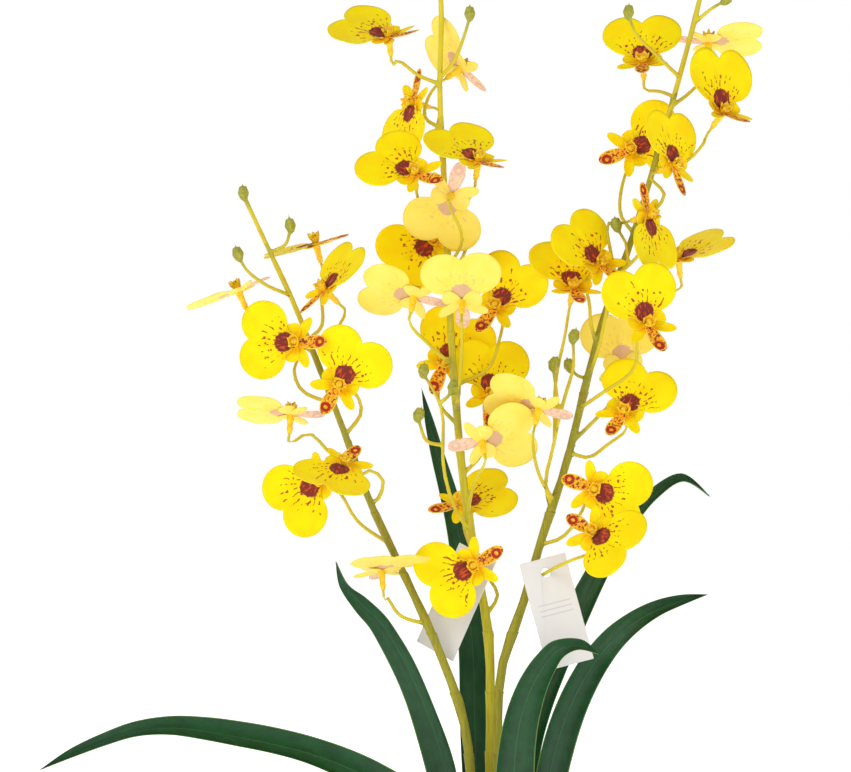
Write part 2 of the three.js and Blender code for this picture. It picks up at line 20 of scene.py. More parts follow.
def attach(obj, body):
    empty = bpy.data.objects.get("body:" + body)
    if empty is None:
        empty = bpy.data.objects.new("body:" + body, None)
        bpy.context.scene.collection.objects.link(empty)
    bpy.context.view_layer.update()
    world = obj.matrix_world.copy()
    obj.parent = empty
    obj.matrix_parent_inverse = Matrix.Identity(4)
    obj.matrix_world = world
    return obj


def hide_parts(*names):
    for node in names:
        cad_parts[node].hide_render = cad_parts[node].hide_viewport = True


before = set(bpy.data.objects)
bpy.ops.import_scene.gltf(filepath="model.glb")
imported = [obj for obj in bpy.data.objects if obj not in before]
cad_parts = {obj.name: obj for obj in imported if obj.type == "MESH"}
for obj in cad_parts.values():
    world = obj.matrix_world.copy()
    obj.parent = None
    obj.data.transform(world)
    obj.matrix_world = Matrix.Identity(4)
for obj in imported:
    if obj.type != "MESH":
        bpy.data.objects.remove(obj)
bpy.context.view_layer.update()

LOG = logging.getLogger("potted_orchid")
MM = 0.001
BODY = "root"
Colour = tuple[float, float, float]


# ---------------------------------------------------------------- shader expressions


class Socket:
    """One output socket, so that shader maths can be written as expressions."""

    def __init__(self, shader: "Shader", link: bpy.types.NodeSocket) -> None:
        """Wraps a socket of a shader's node tree."""
        self.shader = shader
        self.link = link

    def _math(self, operation: str, *values: "Socket | float") -> "Socket":
        """Adds a Math node for one operation."""
        return self.shader.node("ShaderNodeMath", {"operation": operation}, dict(enumerate(values)))

    def __add__(self, other: "Socket | float") -> "Socket":
        """Adds a value."""
        return self._math("ADD", self, other)

    def __radd__(self, other: float) -> "Socket":
        """Adds to a value."""
        return self._math("ADD", other, self)

    def __sub__(self, other: "Socket | float") -> "Socket":
        """Takes a value away."""
        return self._math("SUBTRACT", self, other)

    def __rsub__(self, other: float) -> "Socket":
        """Takes this away from a value."""
        return self._math("SUBTRACT", other, self)

    def __mul__(self, other: "Socket | float") -> "Socket":
        """Multiplies by a value."""
        return self._math("MULTIPLY", self, other)

    def __rmul__(self, other: float) -> "Socket":
        """Multiplies a value by this."""
        return self._math("MULTIPLY", other, self)

    def __truediv__(self, other: "Socket | float") -> "Socket":
        """Divides by a value."""
        return self._math("DIVIDE", self, other)

    def abs(self) -> "Socket":
        """The size without the sign."""
        return self._math("ABSOLUTE", self)

    def floor(self) -> "Socket":
        """The whole part."""
        return self._math("FLOOR", self)

    def step(self, low: float, high: float) -> "Socket":
        """A smooth step from 0 at low to 1 at high; low may be the larger one."""
        inputs = {"Value": self, "From Min": low, "From Max": high}
        return self.shader.node("ShaderNodeMapRange", {"interpolation_type": "SMOOTHSTEP"}, inputs)


class Shader:
    """A material whose nodes are added by methods."""

    def __init__(self, name: str) -> None:
        """Makes a material with a Principled BSDF and its output."""
        self.material = bpy.data.materials.new(name)
        self.material.use_nodes = True
        self.tree = self.material.node_tree
        self.bsdf = next(n for n in self.tree.nodes if n.type == "BSDF_PRINCIPLED")

    def node(self, kind: str, settings: dict, inputs: dict, output: int | str = 0) -> Socket:
        """Adds a node.

        Args:
            kind: the node's type.
            settings: attributes set before the inputs.
            inputs: values or sockets by input name or number.
            output: the output to wrap.

        Returns:
            The wrapped output socket.
        """
        made = self.tree.nodes.new(kind)
        for name, value in settings.items():
            setattr(made, name, value)
        for name, value in inputs.items():
            self._feed(made.inputs[name], value)
        return Socket(self, made.outputs[output])

    def _feed(self, target: bpy.types.NodeSocket, value: "Socket | float | tuple") -> None:
        """Links a socket or sets a value."""
        if isinstance(value, Socket):
            self.tree.links.new(value.link, target)
        elif isinstance(value, tuple) and len(target.default_value) == 4:
            target.default_value = (*value[:3], 1.0)
        else:
            target.default_value = value

    def mix(self, share: "Socket | float", low: "Socket | Colour", high: "Socket | Colour") -> Socket:
        """Mixes two colours by a share."""
        return self.node("ShaderNodeMix", {"data_type": "RGBA"}, {0: share, 6: low, 7: high}, 2)

    def attribute(self, name: str) -> Socket:
        """A number stored on the mesh."""
        return self.node("ShaderNodeAttribute", {"attribute_name": name}, {}, "Fac")

    def place(self) -> Socket:
        """Object coordinates."""
        return self.node("ShaderNodeTexCoord", {}, {}, "Object")

    def uv(self, name: str) -> Socket:
        """A UV map of the piece."""
        return self.node("ShaderNodeUVMap", {"uv_map": name}, {})

    def split(self, vector: Socket) -> tuple[Socket, Socket, Socket]:
        """The three numbers of a vector."""
        first = self.node("ShaderNodeSeparateXYZ", {}, {0: vector})
        return tuple(Socket(self, first.link.node.outputs[i]) for i in range(3))

    def join(self, x: "Socket | float", y: "Socket | float", z: "Socket | float") -> Socket:
        """A vector from three numbers."""
        return self.node("ShaderNodeCombineXYZ", {}, {0: x, 1: y, 2: z})

    def noise(self, vector: Socket, scale: float, detail: float = 2.0, rough: float = 0.5) -> Socket:
        """Fractal noise from 0 to 1."""
        return self.node("ShaderNodeTexNoise", {}, {"Vector": vector, "Scale": scale, "Detail": detail,
                                                    "Roughness": rough})

    def spots(self, vector: Socket, scale: float) -> tuple[Socket, Socket]:
        """Voronoi cells: the distance to each cell's point, and a random grey for each cell."""
        distance = self.node("ShaderNodeTexVoronoi", {}, {"Vector": vector, "Scale": scale}, "Distance")
        tint = Socket(self, distance.link.node.outputs["Color"])
        return distance, self.split(tint)[0]

    def finish(self, colour: "Socket | Colour", roughness: "Socket | float", height: Socket | None = None,
               depth: float = 0.0, **constants: float) -> bpy.types.Material:
        """Feeds the shader.

        Args:
            colour: the base colour.
            roughness: the roughness.
            height: what the bump reads.
            depth: the bump's height in metres.
            constants: the shader's own sockets, with underscores for spaces.

        Returns:
            The finished material.
        """
        self._feed(self.bsdf.inputs["Base Color"], colour)
        self._feed(self.bsdf.inputs["Roughness"], roughness)
        for name, value in constants.items():
            self.bsdf.inputs[name.replace("_", " ")].default_value = value
        if height is not None:
            bump = self.node("ShaderNodeBump", {}, {"Height": height, "Distance": depth, "Strength": 1.0})
            self._feed(self.bsdf.inputs["Normal"], bump)
        return self.material


# ---------------------------------------------------------------- finishes


@dataclass(frozen=True)
class LipFinish:
    """The lip's printed cloth: clear yellow, with a ragged blotch and dashed rays at the throat."""

    yellow: Colour = (1.0, 0.80, 0.0)
    deep: Colour = (1.0, 0.66, 0.0)
    back: Colour = (0.98, 0.78, 0.14)
    blotch: Colour = (0.20, 0.035, 0.025)
    fleck: Colour = (0.62, 0.09, 0.02)
    dash: Colour = (0.42, 0.10, 0.01)
    rays: float = 15.0
    ray_from: float = 9.5
    ray_to: float = 22.0
    blotch_at: float = 6.2
    blotch_half: float = 5.2

    def build(self) -> bpy.types.Material:
        """Makes the material."""
        sh = Shader("lip_print")
        uv = sh.uv("print")
        x, y, _ = sh.split(uv)
        seed = sh.attribute("bloom_seed")
        front = sh.attribute("front").step(0.35, 0.65)
        flat = sh.join(x, y, seed * 40.0)
        wobble = sh.noise(flat, 0.28, 2.0) - 0.5
        reach = sh.node("ShaderNodeVectorMath", {"operation": "LENGTH"}, {0: sh.join(x, y, 0.0)}, "Value")
        turn = sh.node("ShaderNodeMath", {"operation": "ARCTAN2"}, {0: x, 1: y})
        lane = turn * self.rays / math.pi + wobble * 0.9 + seed * 3.0
        lane_at = lane.floor()
        aside = (lane - lane_at - 0.5).abs() * reach * (math.pi / self.rays)
        cell = sh.join(lane_at * 3.7, reach * 0.42, seed * 9.0)
        dashes = sh.noise(cell, 1.0, 1.0).step(0.47, 0.53)
        thickness = sh.noise(cell, 0.6, 0.0) * 0.75
        thin = (thickness - aside).step(0.0, 0.16)
        lane_reach = sh.noise(sh.join(lane_at * 5.3, seed * 7.0, 2.0), 1.0, 0.0) * 14.0 + (self.ray_to - 9.0)
        within = (reach - (self.ray_from - 1.6)).step(0.0, 1.0) * (lane_reach - reach).step(0.0, 0.8)
        ahead = (turn.abs() - 0.98).step(0.12, 0.0)
        distance, chance = sh.spots(sh.join(x, y, seed * 11.0), 0.34)
        blobs = distance.step(0.34, 0.24) * chance.step(0.60, 0.63)
        ring = (reach - 9.0).step(0.0, 1.0) * (reach - 17.5).step(1.2, 0.0) * (turn.abs() - 0.8).step(0.1, 0.0)
        print_mask = self._either(sh, thin * dashes * within * ahead, blobs * ring)
        ragged = (sh.noise(flat, 0.75, 3.0, 0.7) - 0.5) * 3.4
        away = sh.node("ShaderNodeVectorMath", {"operation": "LENGTH"},
                       {0: sh.join(x * 0.92, y - self.blotch_at, 0.0)}, "Value")
        blotch = (away + ragged - self.blotch_half).step(0.35, -0.35)
        streak = sh.noise(sh.join(x * 0.9, y * 0.28, seed * 5.0), 0.9, 2.0).step(0.51, 0.63)
        middle = sh.noise(flat, 0.1, 1.0).step(0.3, 0.7)
        ground = sh.mix(middle * 0.5, self.yellow, self.deep)
        ground = sh.mix((reach - 9.5).step(4.0, -3.0) * 0.55, ground, (1.0, 0.50, 0.0))
        colour = sh.mix(print_mask, ground, self.dash)
        colour = sh.mix(blotch, colour, sh.mix(streak * (away - 4.4).step(0.6, -1.2), self.blotch, self.fleck))
        shown = sh.mix(front, self._back(sh, blotch, print_mask, middle), colour)
        weave = sh.noise(flat, 3.2, 2.0) + sh.noise(sh.join(turn * 9.0, reach * 0.06, seed), 1.6, 2.0) * 0.8
        return sh.finish(shown, 0.55 + 0.1 * middle, weave, 0.00003, Sheen_Weight=0.05, Sheen_Roughness=0.4,
                         Specular_IOR_Level=0.12, Subsurface_Weight=0.12, Subsurface_Scale=0.002)

    def _either(self, sh: Shader, one: Socket, other: Socket) -> Socket:
        """The larger of two masks."""
        return sh.node("ShaderNodeMath", {"operation": "MAXIMUM"}, {0: one, 1: other})

    def _back(self, sh: Shader, blotch: Socket, marks: Socket, middle: Socket) -> Socket:
        """The pale back, where the print shows through as mauve."""
        pale = sh.mix(middle, self.back, (0.97, 0.74, 0.10))
        pale = sh.mix(marks * 0.35, pale, (0.72, 0.42, 0.22))
        return sh.mix(blotch * 0.72, pale, (0.60, 0.32, 0.30))


@dataclass(frozen=True)
class PetalFinish:
    """The plain petals beside and behind the lip."""

    yellow: Colour = (1.0, 0.77, 0.0)
    deep: Colour = (1.0, 0.60, 0.0)
    back: Colour = (0.97, 0.77, 0.16)

    def build(self) -> bpy.types.Material:
        """Makes the material."""
        sh = Shader("petal_plain")
        x, y, _ = sh.split(sh.uv("print"))
        seed = sh.attribute("bloom_seed")
        front = sh.attribute("front").step(0.35, 0.65)
        flat = sh.join(x, y, seed * 40.0)
        cloud = sh.noise(flat, 0.2, 2.0).step(0.3, 0.7)
        reach = sh.node("ShaderNodeVectorMath", {"operation": "LENGTH"}, {0: sh.join(x, y, 0.0)}, "Value")
        turn = sh.node("ShaderNodeMath", {"operation": "ARCTAN2"}, {0: x, 1: y})
        ribs = sh.noise(sh.join(turn * 12.0, reach * 0.08, seed), 1.4, 2.0)
        ground = sh.mix(cloud * 0.5, self.yellow, self.deep)
        ground = sh.mix((reach - 6.0).step(2.5, -2.0) * 0.7, ground, (0.98, 0.45, 0.0))
        shown = sh.mix(front, sh.mix(cloud, self.back, (0.97, 0.76, 0.12)), ground)
        height = ribs + sh.noise(flat, 3.2, 2.0) * 0.6
        return sh.finish(shown, 0.55 + 0.1 * cloud, height, 0.00007, Sheen_Weight=0.05, Sheen_Roughness=0.4,
                         Specular_IOR_Level=0.12, Subsurface_Weight=0.12, Subsurface_Scale=0.002)


@dataclass(frozen=True)
class TongueFinish:
    """The mottled sepal opposite the lip: orange, with red-brown patches and a ringed end spot."""

    orange: Colour = (0.95, 0.33, 0.01)
    light: Colour = (1.0, 0.55, 0.02)
    brown: Colour = (0.30, 0.045, 0.02)
    margin: Colour = (1.0, 0.74, 0.06)
    back: Colour = (0.93, 0.62, 0.42)

    def build(self) -> bpy.types.Material:
        """Makes the material."""
        sh = Shader("tongue_mottled")
        x, y, _ = sh.split(sh.uv("print"))
        across = sh.attribute("across").abs()
        seed = sh.attribute("bloom_seed")
        front = sh.attribute("front").step(0.35, 0.65)
        flat = sh.join(x, y, seed * 40.0)
        mottle = sh.noise(flat, 0.62, 3.0, 0.6)
        ground = sh.mix(sh.noise(flat, 0.9, 1.0).step(0.4, 0.6), self.orange, self.light)
        patches = mottle.step(0.52, 0.56)
        end = sh.node("ShaderNodeVectorMath", {"operation": "LENGTH"}, {0: sh.join(x, y + 14.6, 0.0)}, "Value")
        end = end + (mottle - 0.5) * 1.6
        spot = end.step(3.1, 2.7) * end.step(0.8, 1.3)
        edge = across.step(0.80, 0.93)
        marks = sh.node("ShaderNodeMath", {"operation": "MAXIMUM"}, {0: patches * end.step(2.8, 3.4), 1: spot})
        colour = sh.mix(marks, ground, sh.mix(spot, self.brown, (0.42, 0.03, 0.015)))
        colour = sh.mix(edge, colour, self.margin)
        shown = sh.mix(front, sh.mix(marks * 0.5, self.back, (0.62, 0.34, 0.30)), colour)
        return sh.finish(shown, 0.55, sh.noise(flat, 3.0, 2.0), 0.00006, Sheen_Weight=0.05,
                         Specular_IOR_Level=0.15)


@dataclass(frozen=True)
class ColumnFinish:
    """The moulded column and collar: golden, with painted shade that darkens its hollows."""

    gold: Colour = (0.93, 0.55, 0.01)
    light: Colour = (1.0, 0.68, 0.02)
    # The colour of the painted shade in the column's hollows.
    shade: Colour = (0.55, 0.22, 0.01)

    def build(self) -> bpy.types.Material:
        """Makes the material."""
        sh = Shader("column_gold")
        place = sh.place()
        hollow_shade = sh.attribute("hollow_shade")
        cloud = sh.noise(place, 420.0, 2.0)
        colour = sh.mix(cloud.step(0.35, 0.65), self.gold, self.light)
        # Painted shade: the column is darkened deep inside its cup, where shade would fall.
        colour = sh.mix(hollow_shade * 0.75, colour, self.shade)
        return sh.finish(colour, 0.42 + 0.12 * cloud, sh.noise(place, 1500.0, 2.0), 0.00004,
                         Specular_IOR_Level=0.4, Subsurface_Weight=0.1, Subsurface_Scale=0.002)


@dataclass(frozen=True)
class StemFinish:
    """Moulded stem: one colour on the thick rod and buds, and a yellower one on thin stalks."""

    name: str
    rod: Colour
    rod_shade: Colour
    stalk: Colour = (0.60, 0.48, 0.010)
    stalk_light: Colour = (0.70, 0.57, 0.014)
    bud: Colour = (0.30, 0.30, 0.025)
    thin_to: float = 2.9
    thick_from: float = 3.4
    bud_from: float = 5.0

    def build(self) -> bpy.types.Material:
        """Makes the material."""
        sh = Shader(self.name)
        place = sh.place()
        girth = sh.attribute("girth")
        is_bud = sh.attribute("bud")
        x, y, z = sh.split(place)
        drawn = sh.join(x * 1.0, y * 1.0, z * 0.08)
        streaks = sh.noise(drawn, 900.0, 3.0, 0.6)
        cloud = sh.noise(place, 55.0, 2.0)
        fine = sh.noise(place, 700.0, 2.0)
        rod = sh.mix(streaks.step(0.35, 0.7), self.rod, self.rod_shade)
        stalk = sh.mix(cloud.step(0.35, 0.65), self.stalk, self.stalk_light)
        colour = sh.mix(girth.step(self.thin_to, self.thick_from), stalk, rod)
        colour = sh.mix(is_bud, colour, sh.mix(fine.step(0.4, 0.7), self.bud, (0.42, 0.40, 0.04)))
        rough = 0.38 + 0.2 * cloud
        return sh.finish(colour, rough, streaks + fine * 0.5, 0.00002, Specular_IOR_Level=0.4,
                         Subsurface_Weight=0.05, Subsurface_Scale=0.002)


@dataclass(frozen=True)
class LeafFinish:
    """Waxy strap leaf: deep green with fine lengthwise veins, a pale midrib and thin light edges, which are
    partly the leaf's own pale margin and partly painted highlight.
    """

    green: Colour = (0.005, 0.060, 0.012)
    light: Colour = (0.007, 0.084, 0.017)
    vein: Colour = (0.004, 0.038, 0.009)
    # The edge colour is partly the leaf's own pale margin and partly painted highlight.
    edge: Colour = (0.22, 0.36, 0.06)
    under: Colour = (0.020, 0.105, 0.035)
    veins: float = 13.0

    def build(self) -> bpy.types.Material:
        """Makes the material."""
        sh = Shader("leaf_waxy")
        across, along, _ = sh.split(sh.uv("blade"))
        front = sh.attribute("front").step(0.35, 0.65)
        wander = sh.noise(sh.join(across * 3.0, along * 9.0, 0.0), 1.0, 2.0) - 0.5
        ripple = sh.node("ShaderNodeMath", {"operation": "SINE"},
                         {0: (across + wander * 0.05) * (self.veins * 2.0 * math.pi)})
        cloud = sh.noise(sh.join(across * 1.4, along * 22.0, 3.0), 1.0, 3.0)
        fine = sh.noise(sh.join(across * 60.0, along * 40.0, 1.0), 1.0, 3.0)
        middle = across.abs().step(0.05, 0.015)
        rim = across.abs().step(0.945, 0.985)
        ground = sh.mix(cloud.step(0.35, 0.65), self.green, self.light)
        ground = sh.mix(ripple.step(0.55, 1.0) * 0.45, ground, self.vein)
        ground = sh.mix(front, self.under, ground)
        ground = sh.mix(middle * 0.5, ground, (0.04, 0.17, 0.05))
        # Lightens both edges: partly the leaf's own pale margin, partly a painted highlight along the edge.
        colour = sh.mix(rim * 0.9, ground, self.edge)
        rough = 0.27 + 0.06 * cloud + 0.04 * fine
        height = ripple * 0.35 + fine * 0.3 + middle * -1.2
        return sh.finish(colour, rough, height, 0.00012, Specular_IOR_Level=0.36, Coat_Weight=0.08,
                         Coat_Roughness=0.12)


@dataclass(frozen=True)
class CardFinish:
    """Stiff off-white card, with a few plain pale rule lines."""

    name: str
    card: Colour = (0.77, 0.74, 0.71)
    ink: Colour = (0.50, 0.48, 0.47)
    lines: tuple[float, ...] = ()
    line_half: float = 0.45

    def build(self) -> bpy.types.Material:
        """Makes the material."""
        sh = Shader(self.name)
        across, down, _ = sh.split(sh.uv("card"))
        flat = sh.join(across, down, 0.0)
        fibre = sh.noise(flat, 2.2, 4.0, 0.65)
        speck = sh.noise(flat, 9.0, 2.0).step(0.68, 0.74)
        colour = sh.mix(fibre.step(0.3, 0.75), self.card, (0.80, 0.775, 0.75))
        colour = sh.mix(speck * 0.15, colour, (0.6, 0.57, 0.52))
        for height in self.lines:
            beside = (down + height).abs().step(self.line_half, self.line_half * 0.6)
            rule = beside * across.abs().step(9.2, 9.0)
            colour = sh.mix(rule * 0.5, colour, self.ink)
        return sh.finish(colour, 0.62 + 0.15 * fibre, fibre, 0.00006, Specular_IOR_Level=0.35)


@dataclass(frozen=True)
class BarkFinish:
    """Damp bark chips and coarse medium."""

    name: str
    dark: Colour
    light: Colour

    def build(self) -> bpy.types.Material:
        """Makes the material."""
        sh = Shader(self.name)
        place = sh.place()
        tone = sh.attribute("tone")
        grain = sh.noise(place, 300.0, 5.0, 0.7)
        crumb = sh.noise(place, 1200.0, 3.0)
        colour = sh.mix((grain * 0.6 + tone * 0.6).step(0.3, 0.8), self.dark, self.light)
        return sh.finish(colour, 0.8 + 0.15 * crumb, grain + crumb * 0.4, 0.0005, Specular_IOR_Level=0.3)


@dataclass(frozen=True)
class PotFinish:
    """Satin stone-white glaze with fine speckles and a slightly worn rim."""

    glaze: Colour = (0.66, 0.64, 0.60)
    light: Colour = (0.72, 0.70, 0.67)
    speckle: Colour = (0.35, 0.32, 0.28)
    rim_height: float = 0.1185

    def build(self) -> bpy.types.Material:
        """Makes the material."""
        sh = Shader("pot_glaze")
        place = sh.place()
        _, _, z = sh.split(place)
        cloud = sh.noise(place, 14.0, 4.0)
        distance, chance = sh.spots(place, 420.0)
        dots = distance.step(0.26, 0.16) * chance.step(0.84, 0.87)
        worn = (z + (cloud - 0.5) * 0.004).step(self.rim_height, self.rim_height + 0.0012)
        colour = sh.mix(cloud.step(0.35, 0.65), self.glaze, self.light)
        colour = sh.mix(dots * 0.7, colour, self.speckle)
        colour = sh.mix(worn * 0.35, colour, (0.50, 0.43, 0.35))
        bands = sh.noise(sh.join(0.0, 0.0, z), 160.0, 2.0)
        return sh.finish(colour, 0.34 + 0.2 * cloud, bands + cloud, 0.0003, Specular_IOR_Level=0.5,
                         Coat_Weight=0.15, Coat_Roughness=0.3)


# ---------------------------------------------------------------- mesh helpers


def merged(node: str) -> bmesh.types.BMesh:
    """A CAD node's mesh with its doubles merged.

    Args:
        node: the CAD node's name.

    Returns:
        A new bmesh, which the caller frees.
    """
    bm = bmesh.new()
    bm.from_mesh(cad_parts[node].data)
    bmesh.ops.remove_doubles(bm, verts=bm.verts, dist=0.00002)
    for layer in list(bm.loops.layers.uv):
        bm.loops.layers.uv.remove(layer)
    return bm


def piece_from(bm: bmesh.types.BMesh, name: str, materials: list[bpy.types.Material]) -> bpy.types.Object:
    """Turns a bmesh into a smooth-shaded object at the origin.

    Args:
        bm: the shape, which is freed.
        name: the object's name.
        materials: its material slots.

    Returns:
        The object.
    """
    mesh = bpy.data.meshes.new(name)
    for material in materials:
        mesh.materials.append(material)
    bm.to_mesh(mesh)
    bm.free()
    mesh.shade_smooth()
    made = bpy.data.objects.new(name, mesh)
    bpy.context.scene.collection.objects.link(made)
    return made


def settle(piece: bpy.types.Object, nodes: list[str], slot: str) -> None:
    """Rides a piece on the root body and lets it stand for CAD nodes.

    Args:
        piece: the finished piece.
        nodes: the CAD nodes that it replaces.
        slot: a slot name, which is logged with the piece.
    """
    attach(piece, BODY)
    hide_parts(*nodes)
    LOG.info("%s: %d faces, slot %s", piece.name, len(piece.data.polygons), slot)


def baked_modifiers(piece: bpy.types.Object) -> None:
    """Applies every modifier of a piece to its mesh."""
    graph = bpy.context.evaluated_depsgraph_get()
    mesh = bpy.data.meshes.new_from_object(piece.evaluated_get(graph))
    piece.modifiers.clear()
    old = piece.data
    piece.data = mesh
    bpy.data.meshes.remove(old)


def spun(bm: bmesh.types.BMesh, profile: list[tuple[float, float]], steps: int) -> list[bmesh.types.BMVert]:
    """Spins a profile of (radius, height) once round the Z axis.

    Args:
        bm: the bmesh that it is added to.
        profile: points from one end to the other; a radius of 0 closes the end.
        steps: how many sides the round has.

    Returns:
        The new vertices.
    """
    before = set(bm.verts)
    chain = [bm.verts.new((radius, 0.0, height)) for radius, height in profile]
    edges = [bm.edges.new(pair) for pair in zip(chain, chain[1:])]
    bmesh.ops.spin(bm, geom=chain + edges, cent=(0, 0, 0), axis=(0, 0, 1), angle=2 * math.pi, steps=steps,
                   use_merge=True)
    fresh = [v for v in bm.verts if v not in before]
    bmesh.ops.remove_doubles(bm, verts=fresh, dist=1e-7)
    fresh = [v for v in bm.verts if v not in before]
    faces = {f for v in fresh for f in v.link_faces}
    bmesh.ops.recalc_face_normals(bm, faces=list(faces))
    return fresh


# ---------------------------------------------------------------- blooms


class PetalKind(Enum):
    """The material slot of each kind of blade on a bloom."""

    LIP = 0
    PLAIN = 1
    TONGUE = 2
    COLUMN = 3


@dataclass
class Stance:
    """Where a bloom's throat is, and how its face, lip and side point."""

    throat: Vector
    face: Vector
    lip: Vector
    side: Vector
    lift: float

    def matrix(self) -> Matrix:
        """From a bloom's own millimetres (x side, y lip, z face) to the model's frame."""
        turn = Matrix((self.side, self.lip, self.face)).transposed().to_4x4()
        return Matrix.Translation(self.throat) @ turn @ Matrix.Scale(MM, 4)


@dataclass
class Bloom:
    """One bloom: a two-lobed lip, two ears, two sepals, a tongue, a pegged column and a collar."""

    node: str
    collar_length: float = 11.0
    lobe_at: float = 19.6
    lobe_turn: float = 0.50
    lobe_radius: float = 12.6
    waist: float = 4.4
    ear_reach: float = 11.2
    ear_half: float = 4.9
    sepal_reach: float = 16.0
    sepal_half: float = 3.0
    tongue_reach: float = 19.0
    tongue_half: float = 4.1
    thickness: float = 0.34
    column_scale: float = 1.3
    lobe_near: float = math.radians(-108.0)
    lobe_bow: float = 3.0
    bow_from: float = 0.35
    ear_turn: float = 1.27
    sepal_turn: float = 2.12
    dice: random.Random = field(default_factory=random.Random)

    def stance(self) -> Stance:
        """Reads the bloom's stance from its CAD node."""
        bm = merged(self.node)
        poles = sorted(bm.verts, key=lambda v: len(v.link_edges))[-2:]
        poles.sort(key=lambda v: sum(e.calc_length() for e in v.link_edges))
        back, front = poles
        face = (front.co - back.co).normalized()
        throat = back.co + face * self.collar_length * MM
        rim = [edge.other_vert(front).co - throat for edge in front.link_edges]
        far = sorted(rim, key=lambda p: (p - face * p.dot(face)).length)[-4:]
        lobes = sum(far, Vector()) / len(far)
        height = lobes.dot(face)
        lip = (lobes - face * height).normalized()
        lift = math.atan(height / (32.0 * MM)) / 0.93
        found = Stance(throat.copy(), face, lip, lip.cross(face), lift)
        bm.free()
        return found

    def raise_at(self, x: float, y: float, lift: float) -> float:
        """How far the petals lift out of the face's plane at a place, as the CAD petals do."""
        reach = math.hypot(x, y)
        along = (y / reach) ** 2 if reach > 0.0 else 1.0
        return reach * math.tan(lift * (0.55 + 0.45 * along))

    def blade(self, bm: bmesh.types.BMesh, kind: PetalKind, columns: int, rows: int,
              shape: Callable[[float, float], Vector]) -> None:
        """Adds one petal as a grid that a rule bends into shape, and gives it a wall.

        Args:
            bm: the bloom's bmesh.
            kind: the petal's kind, which sets its material.
            columns: cells across.
            rows: cells along.
            shape: a rule from (across -1..1, along 0..1) to a place in millimetres.
        """
        part = bmesh.new()
        part.loops.layers.uv.new("print")
        part.verts.layers.float.new("across")
        bmesh.ops.create_grid(part, x_segments=columns, y_segments=rows, size=1.0)
        sheet = part.loops.layers.uv["print"]
        across = part.verts.layers.float["across"]
        for vert in part.verts:
            u, v = vert.co.x, (vert.co.y + 1.0) / 2.0
            vert[across] = u
            vert.co = shape(u, v)
        for face in part.faces:
            face.material_index = kind.value
            for loop in face.loops:
                loop[sheet].uv = loop.vert.co.xy
        bmesh.ops.recalc_face_normals(part, faces=part.faces)
        if sum(f.normal.z * f.calc_area() for f in part.faces) < 0.0:
            bmesh.ops.reverse_faces(part, faces=part.faces)
        self._wall(part)
        self._join(bm, part)

    def _join(self, bm: bmesh.types.BMesh, part: bmesh.types.BMesh) -> None:
        """Moves one finished part into the bloom's bmesh, with its material numbers."""
        mesh = bpy.data.meshes.new("part")
        for _ in PetalKind:
            mesh.materials.append(None)
        part.to_mesh(mesh)
        part.free()
        bm.from_mesh(mesh)
        bpy.data.meshes.remove(mesh)

    def _wall(self, part: bmesh.types.BMesh) -> None:
        """Gives a sheet its thickness, and marks its front."""
        bmesh.ops.remove_doubles(part, verts=part.verts, dist=0.02)
        front = part.verts.layers.float.new("front")
        sheet = list(part.verts)
        rim = [e for e in part.edges if e.is_boundary]
        made = bmesh.ops.duplicate(part, geom=sheet + list(part.edges) + list(part.faces))
        copies = made["vert_map"]
        turned = [f for f in made["geom"] if isinstance(f, bmesh.types.BMFace)]
        bmesh.ops.reverse_faces(part, faces=turned)
        for vert in sheet:
            vert[front] = 1.0
            copies[vert][front] = 0.0
            copies[vert].co.z -= self.thickness
        other = [e for e in made["geom"] if isinstance(e, bmesh.types.BMEdge) and e.is_boundary]
        kind = sum(f.material_index for f in part.faces) // len(part.faces)
        wall = bmesh.ops.bridge_loops(part, edges=rim + other)["faces"]
        for face in wall:
            face.material_index = kind
        bmesh.ops.recalc_face_normals(part, faces=part.faces)

    def lip(self, bm: bmesh.types.BMesh, lift: float) -> None:
        """Adds the two-lobed lip, a fan of spokes from a narrow waist to the lobes' rim."""
        ruffle = [self.dice.uniform(-1.0, 1.0) for _ in range(6)]
        cup = self.dice.uniform(-0.6, 1.6)
        lean = self.dice.uniform(-0.05, 0.05)
        centre = Vector((math.sin(self.lobe_turn), math.cos(self.lobe_turn))) * self.lobe_at
        notch = math.atan2(math.sqrt(self.lobe_radius**2 - centre.x**2), -centre.x)
        near = self.lobe_near

        def shape(u: float, v: float) -> Vector:
            """The place of a point on the lip."""
            side = 1.0 if u >= 0.0 else -1.0
            part = abs(u)
            turn = notch + (near - notch) * part
            rim = centre + Vector((math.cos(turn), math.sin(turn))) * self.lobe_radius
            base = Vector((self.waist * part, 1.2 + 1.0 * (1.0 - part)))
            flat = base.lerp(rim, v**0.92)
            outer = max(0.0, (part - self.bow_from) / (1.0 - self.bow_from))
            flat.y += self.lobe_bow * math.sin(math.pi * v) * math.sin(math.pi * outer)
            x, y = side * flat.x, flat.y
            wave = sum(r * math.sin((k + 2) * math.pi * (side * part) + k) for k, r in enumerate(ruffle)) / 6.0
            bowl = (flat - centre).length / self.lobe_radius
            z = self.raise_at(x, y, lift) + 0.9 * wave * v**3 - cup * (1.0 - min(bowl, 1.0) ** 2) * v
            crease = 0.8 * math.exp(-((x / 2.2) ** 2)) * math.sin(math.pi * min(v * 1.1, 1.0))
            return Vector((x + lean * y * v, y, z - crease))

        self.blade(bm, PetalKind.LIP, 56, 16, shape)

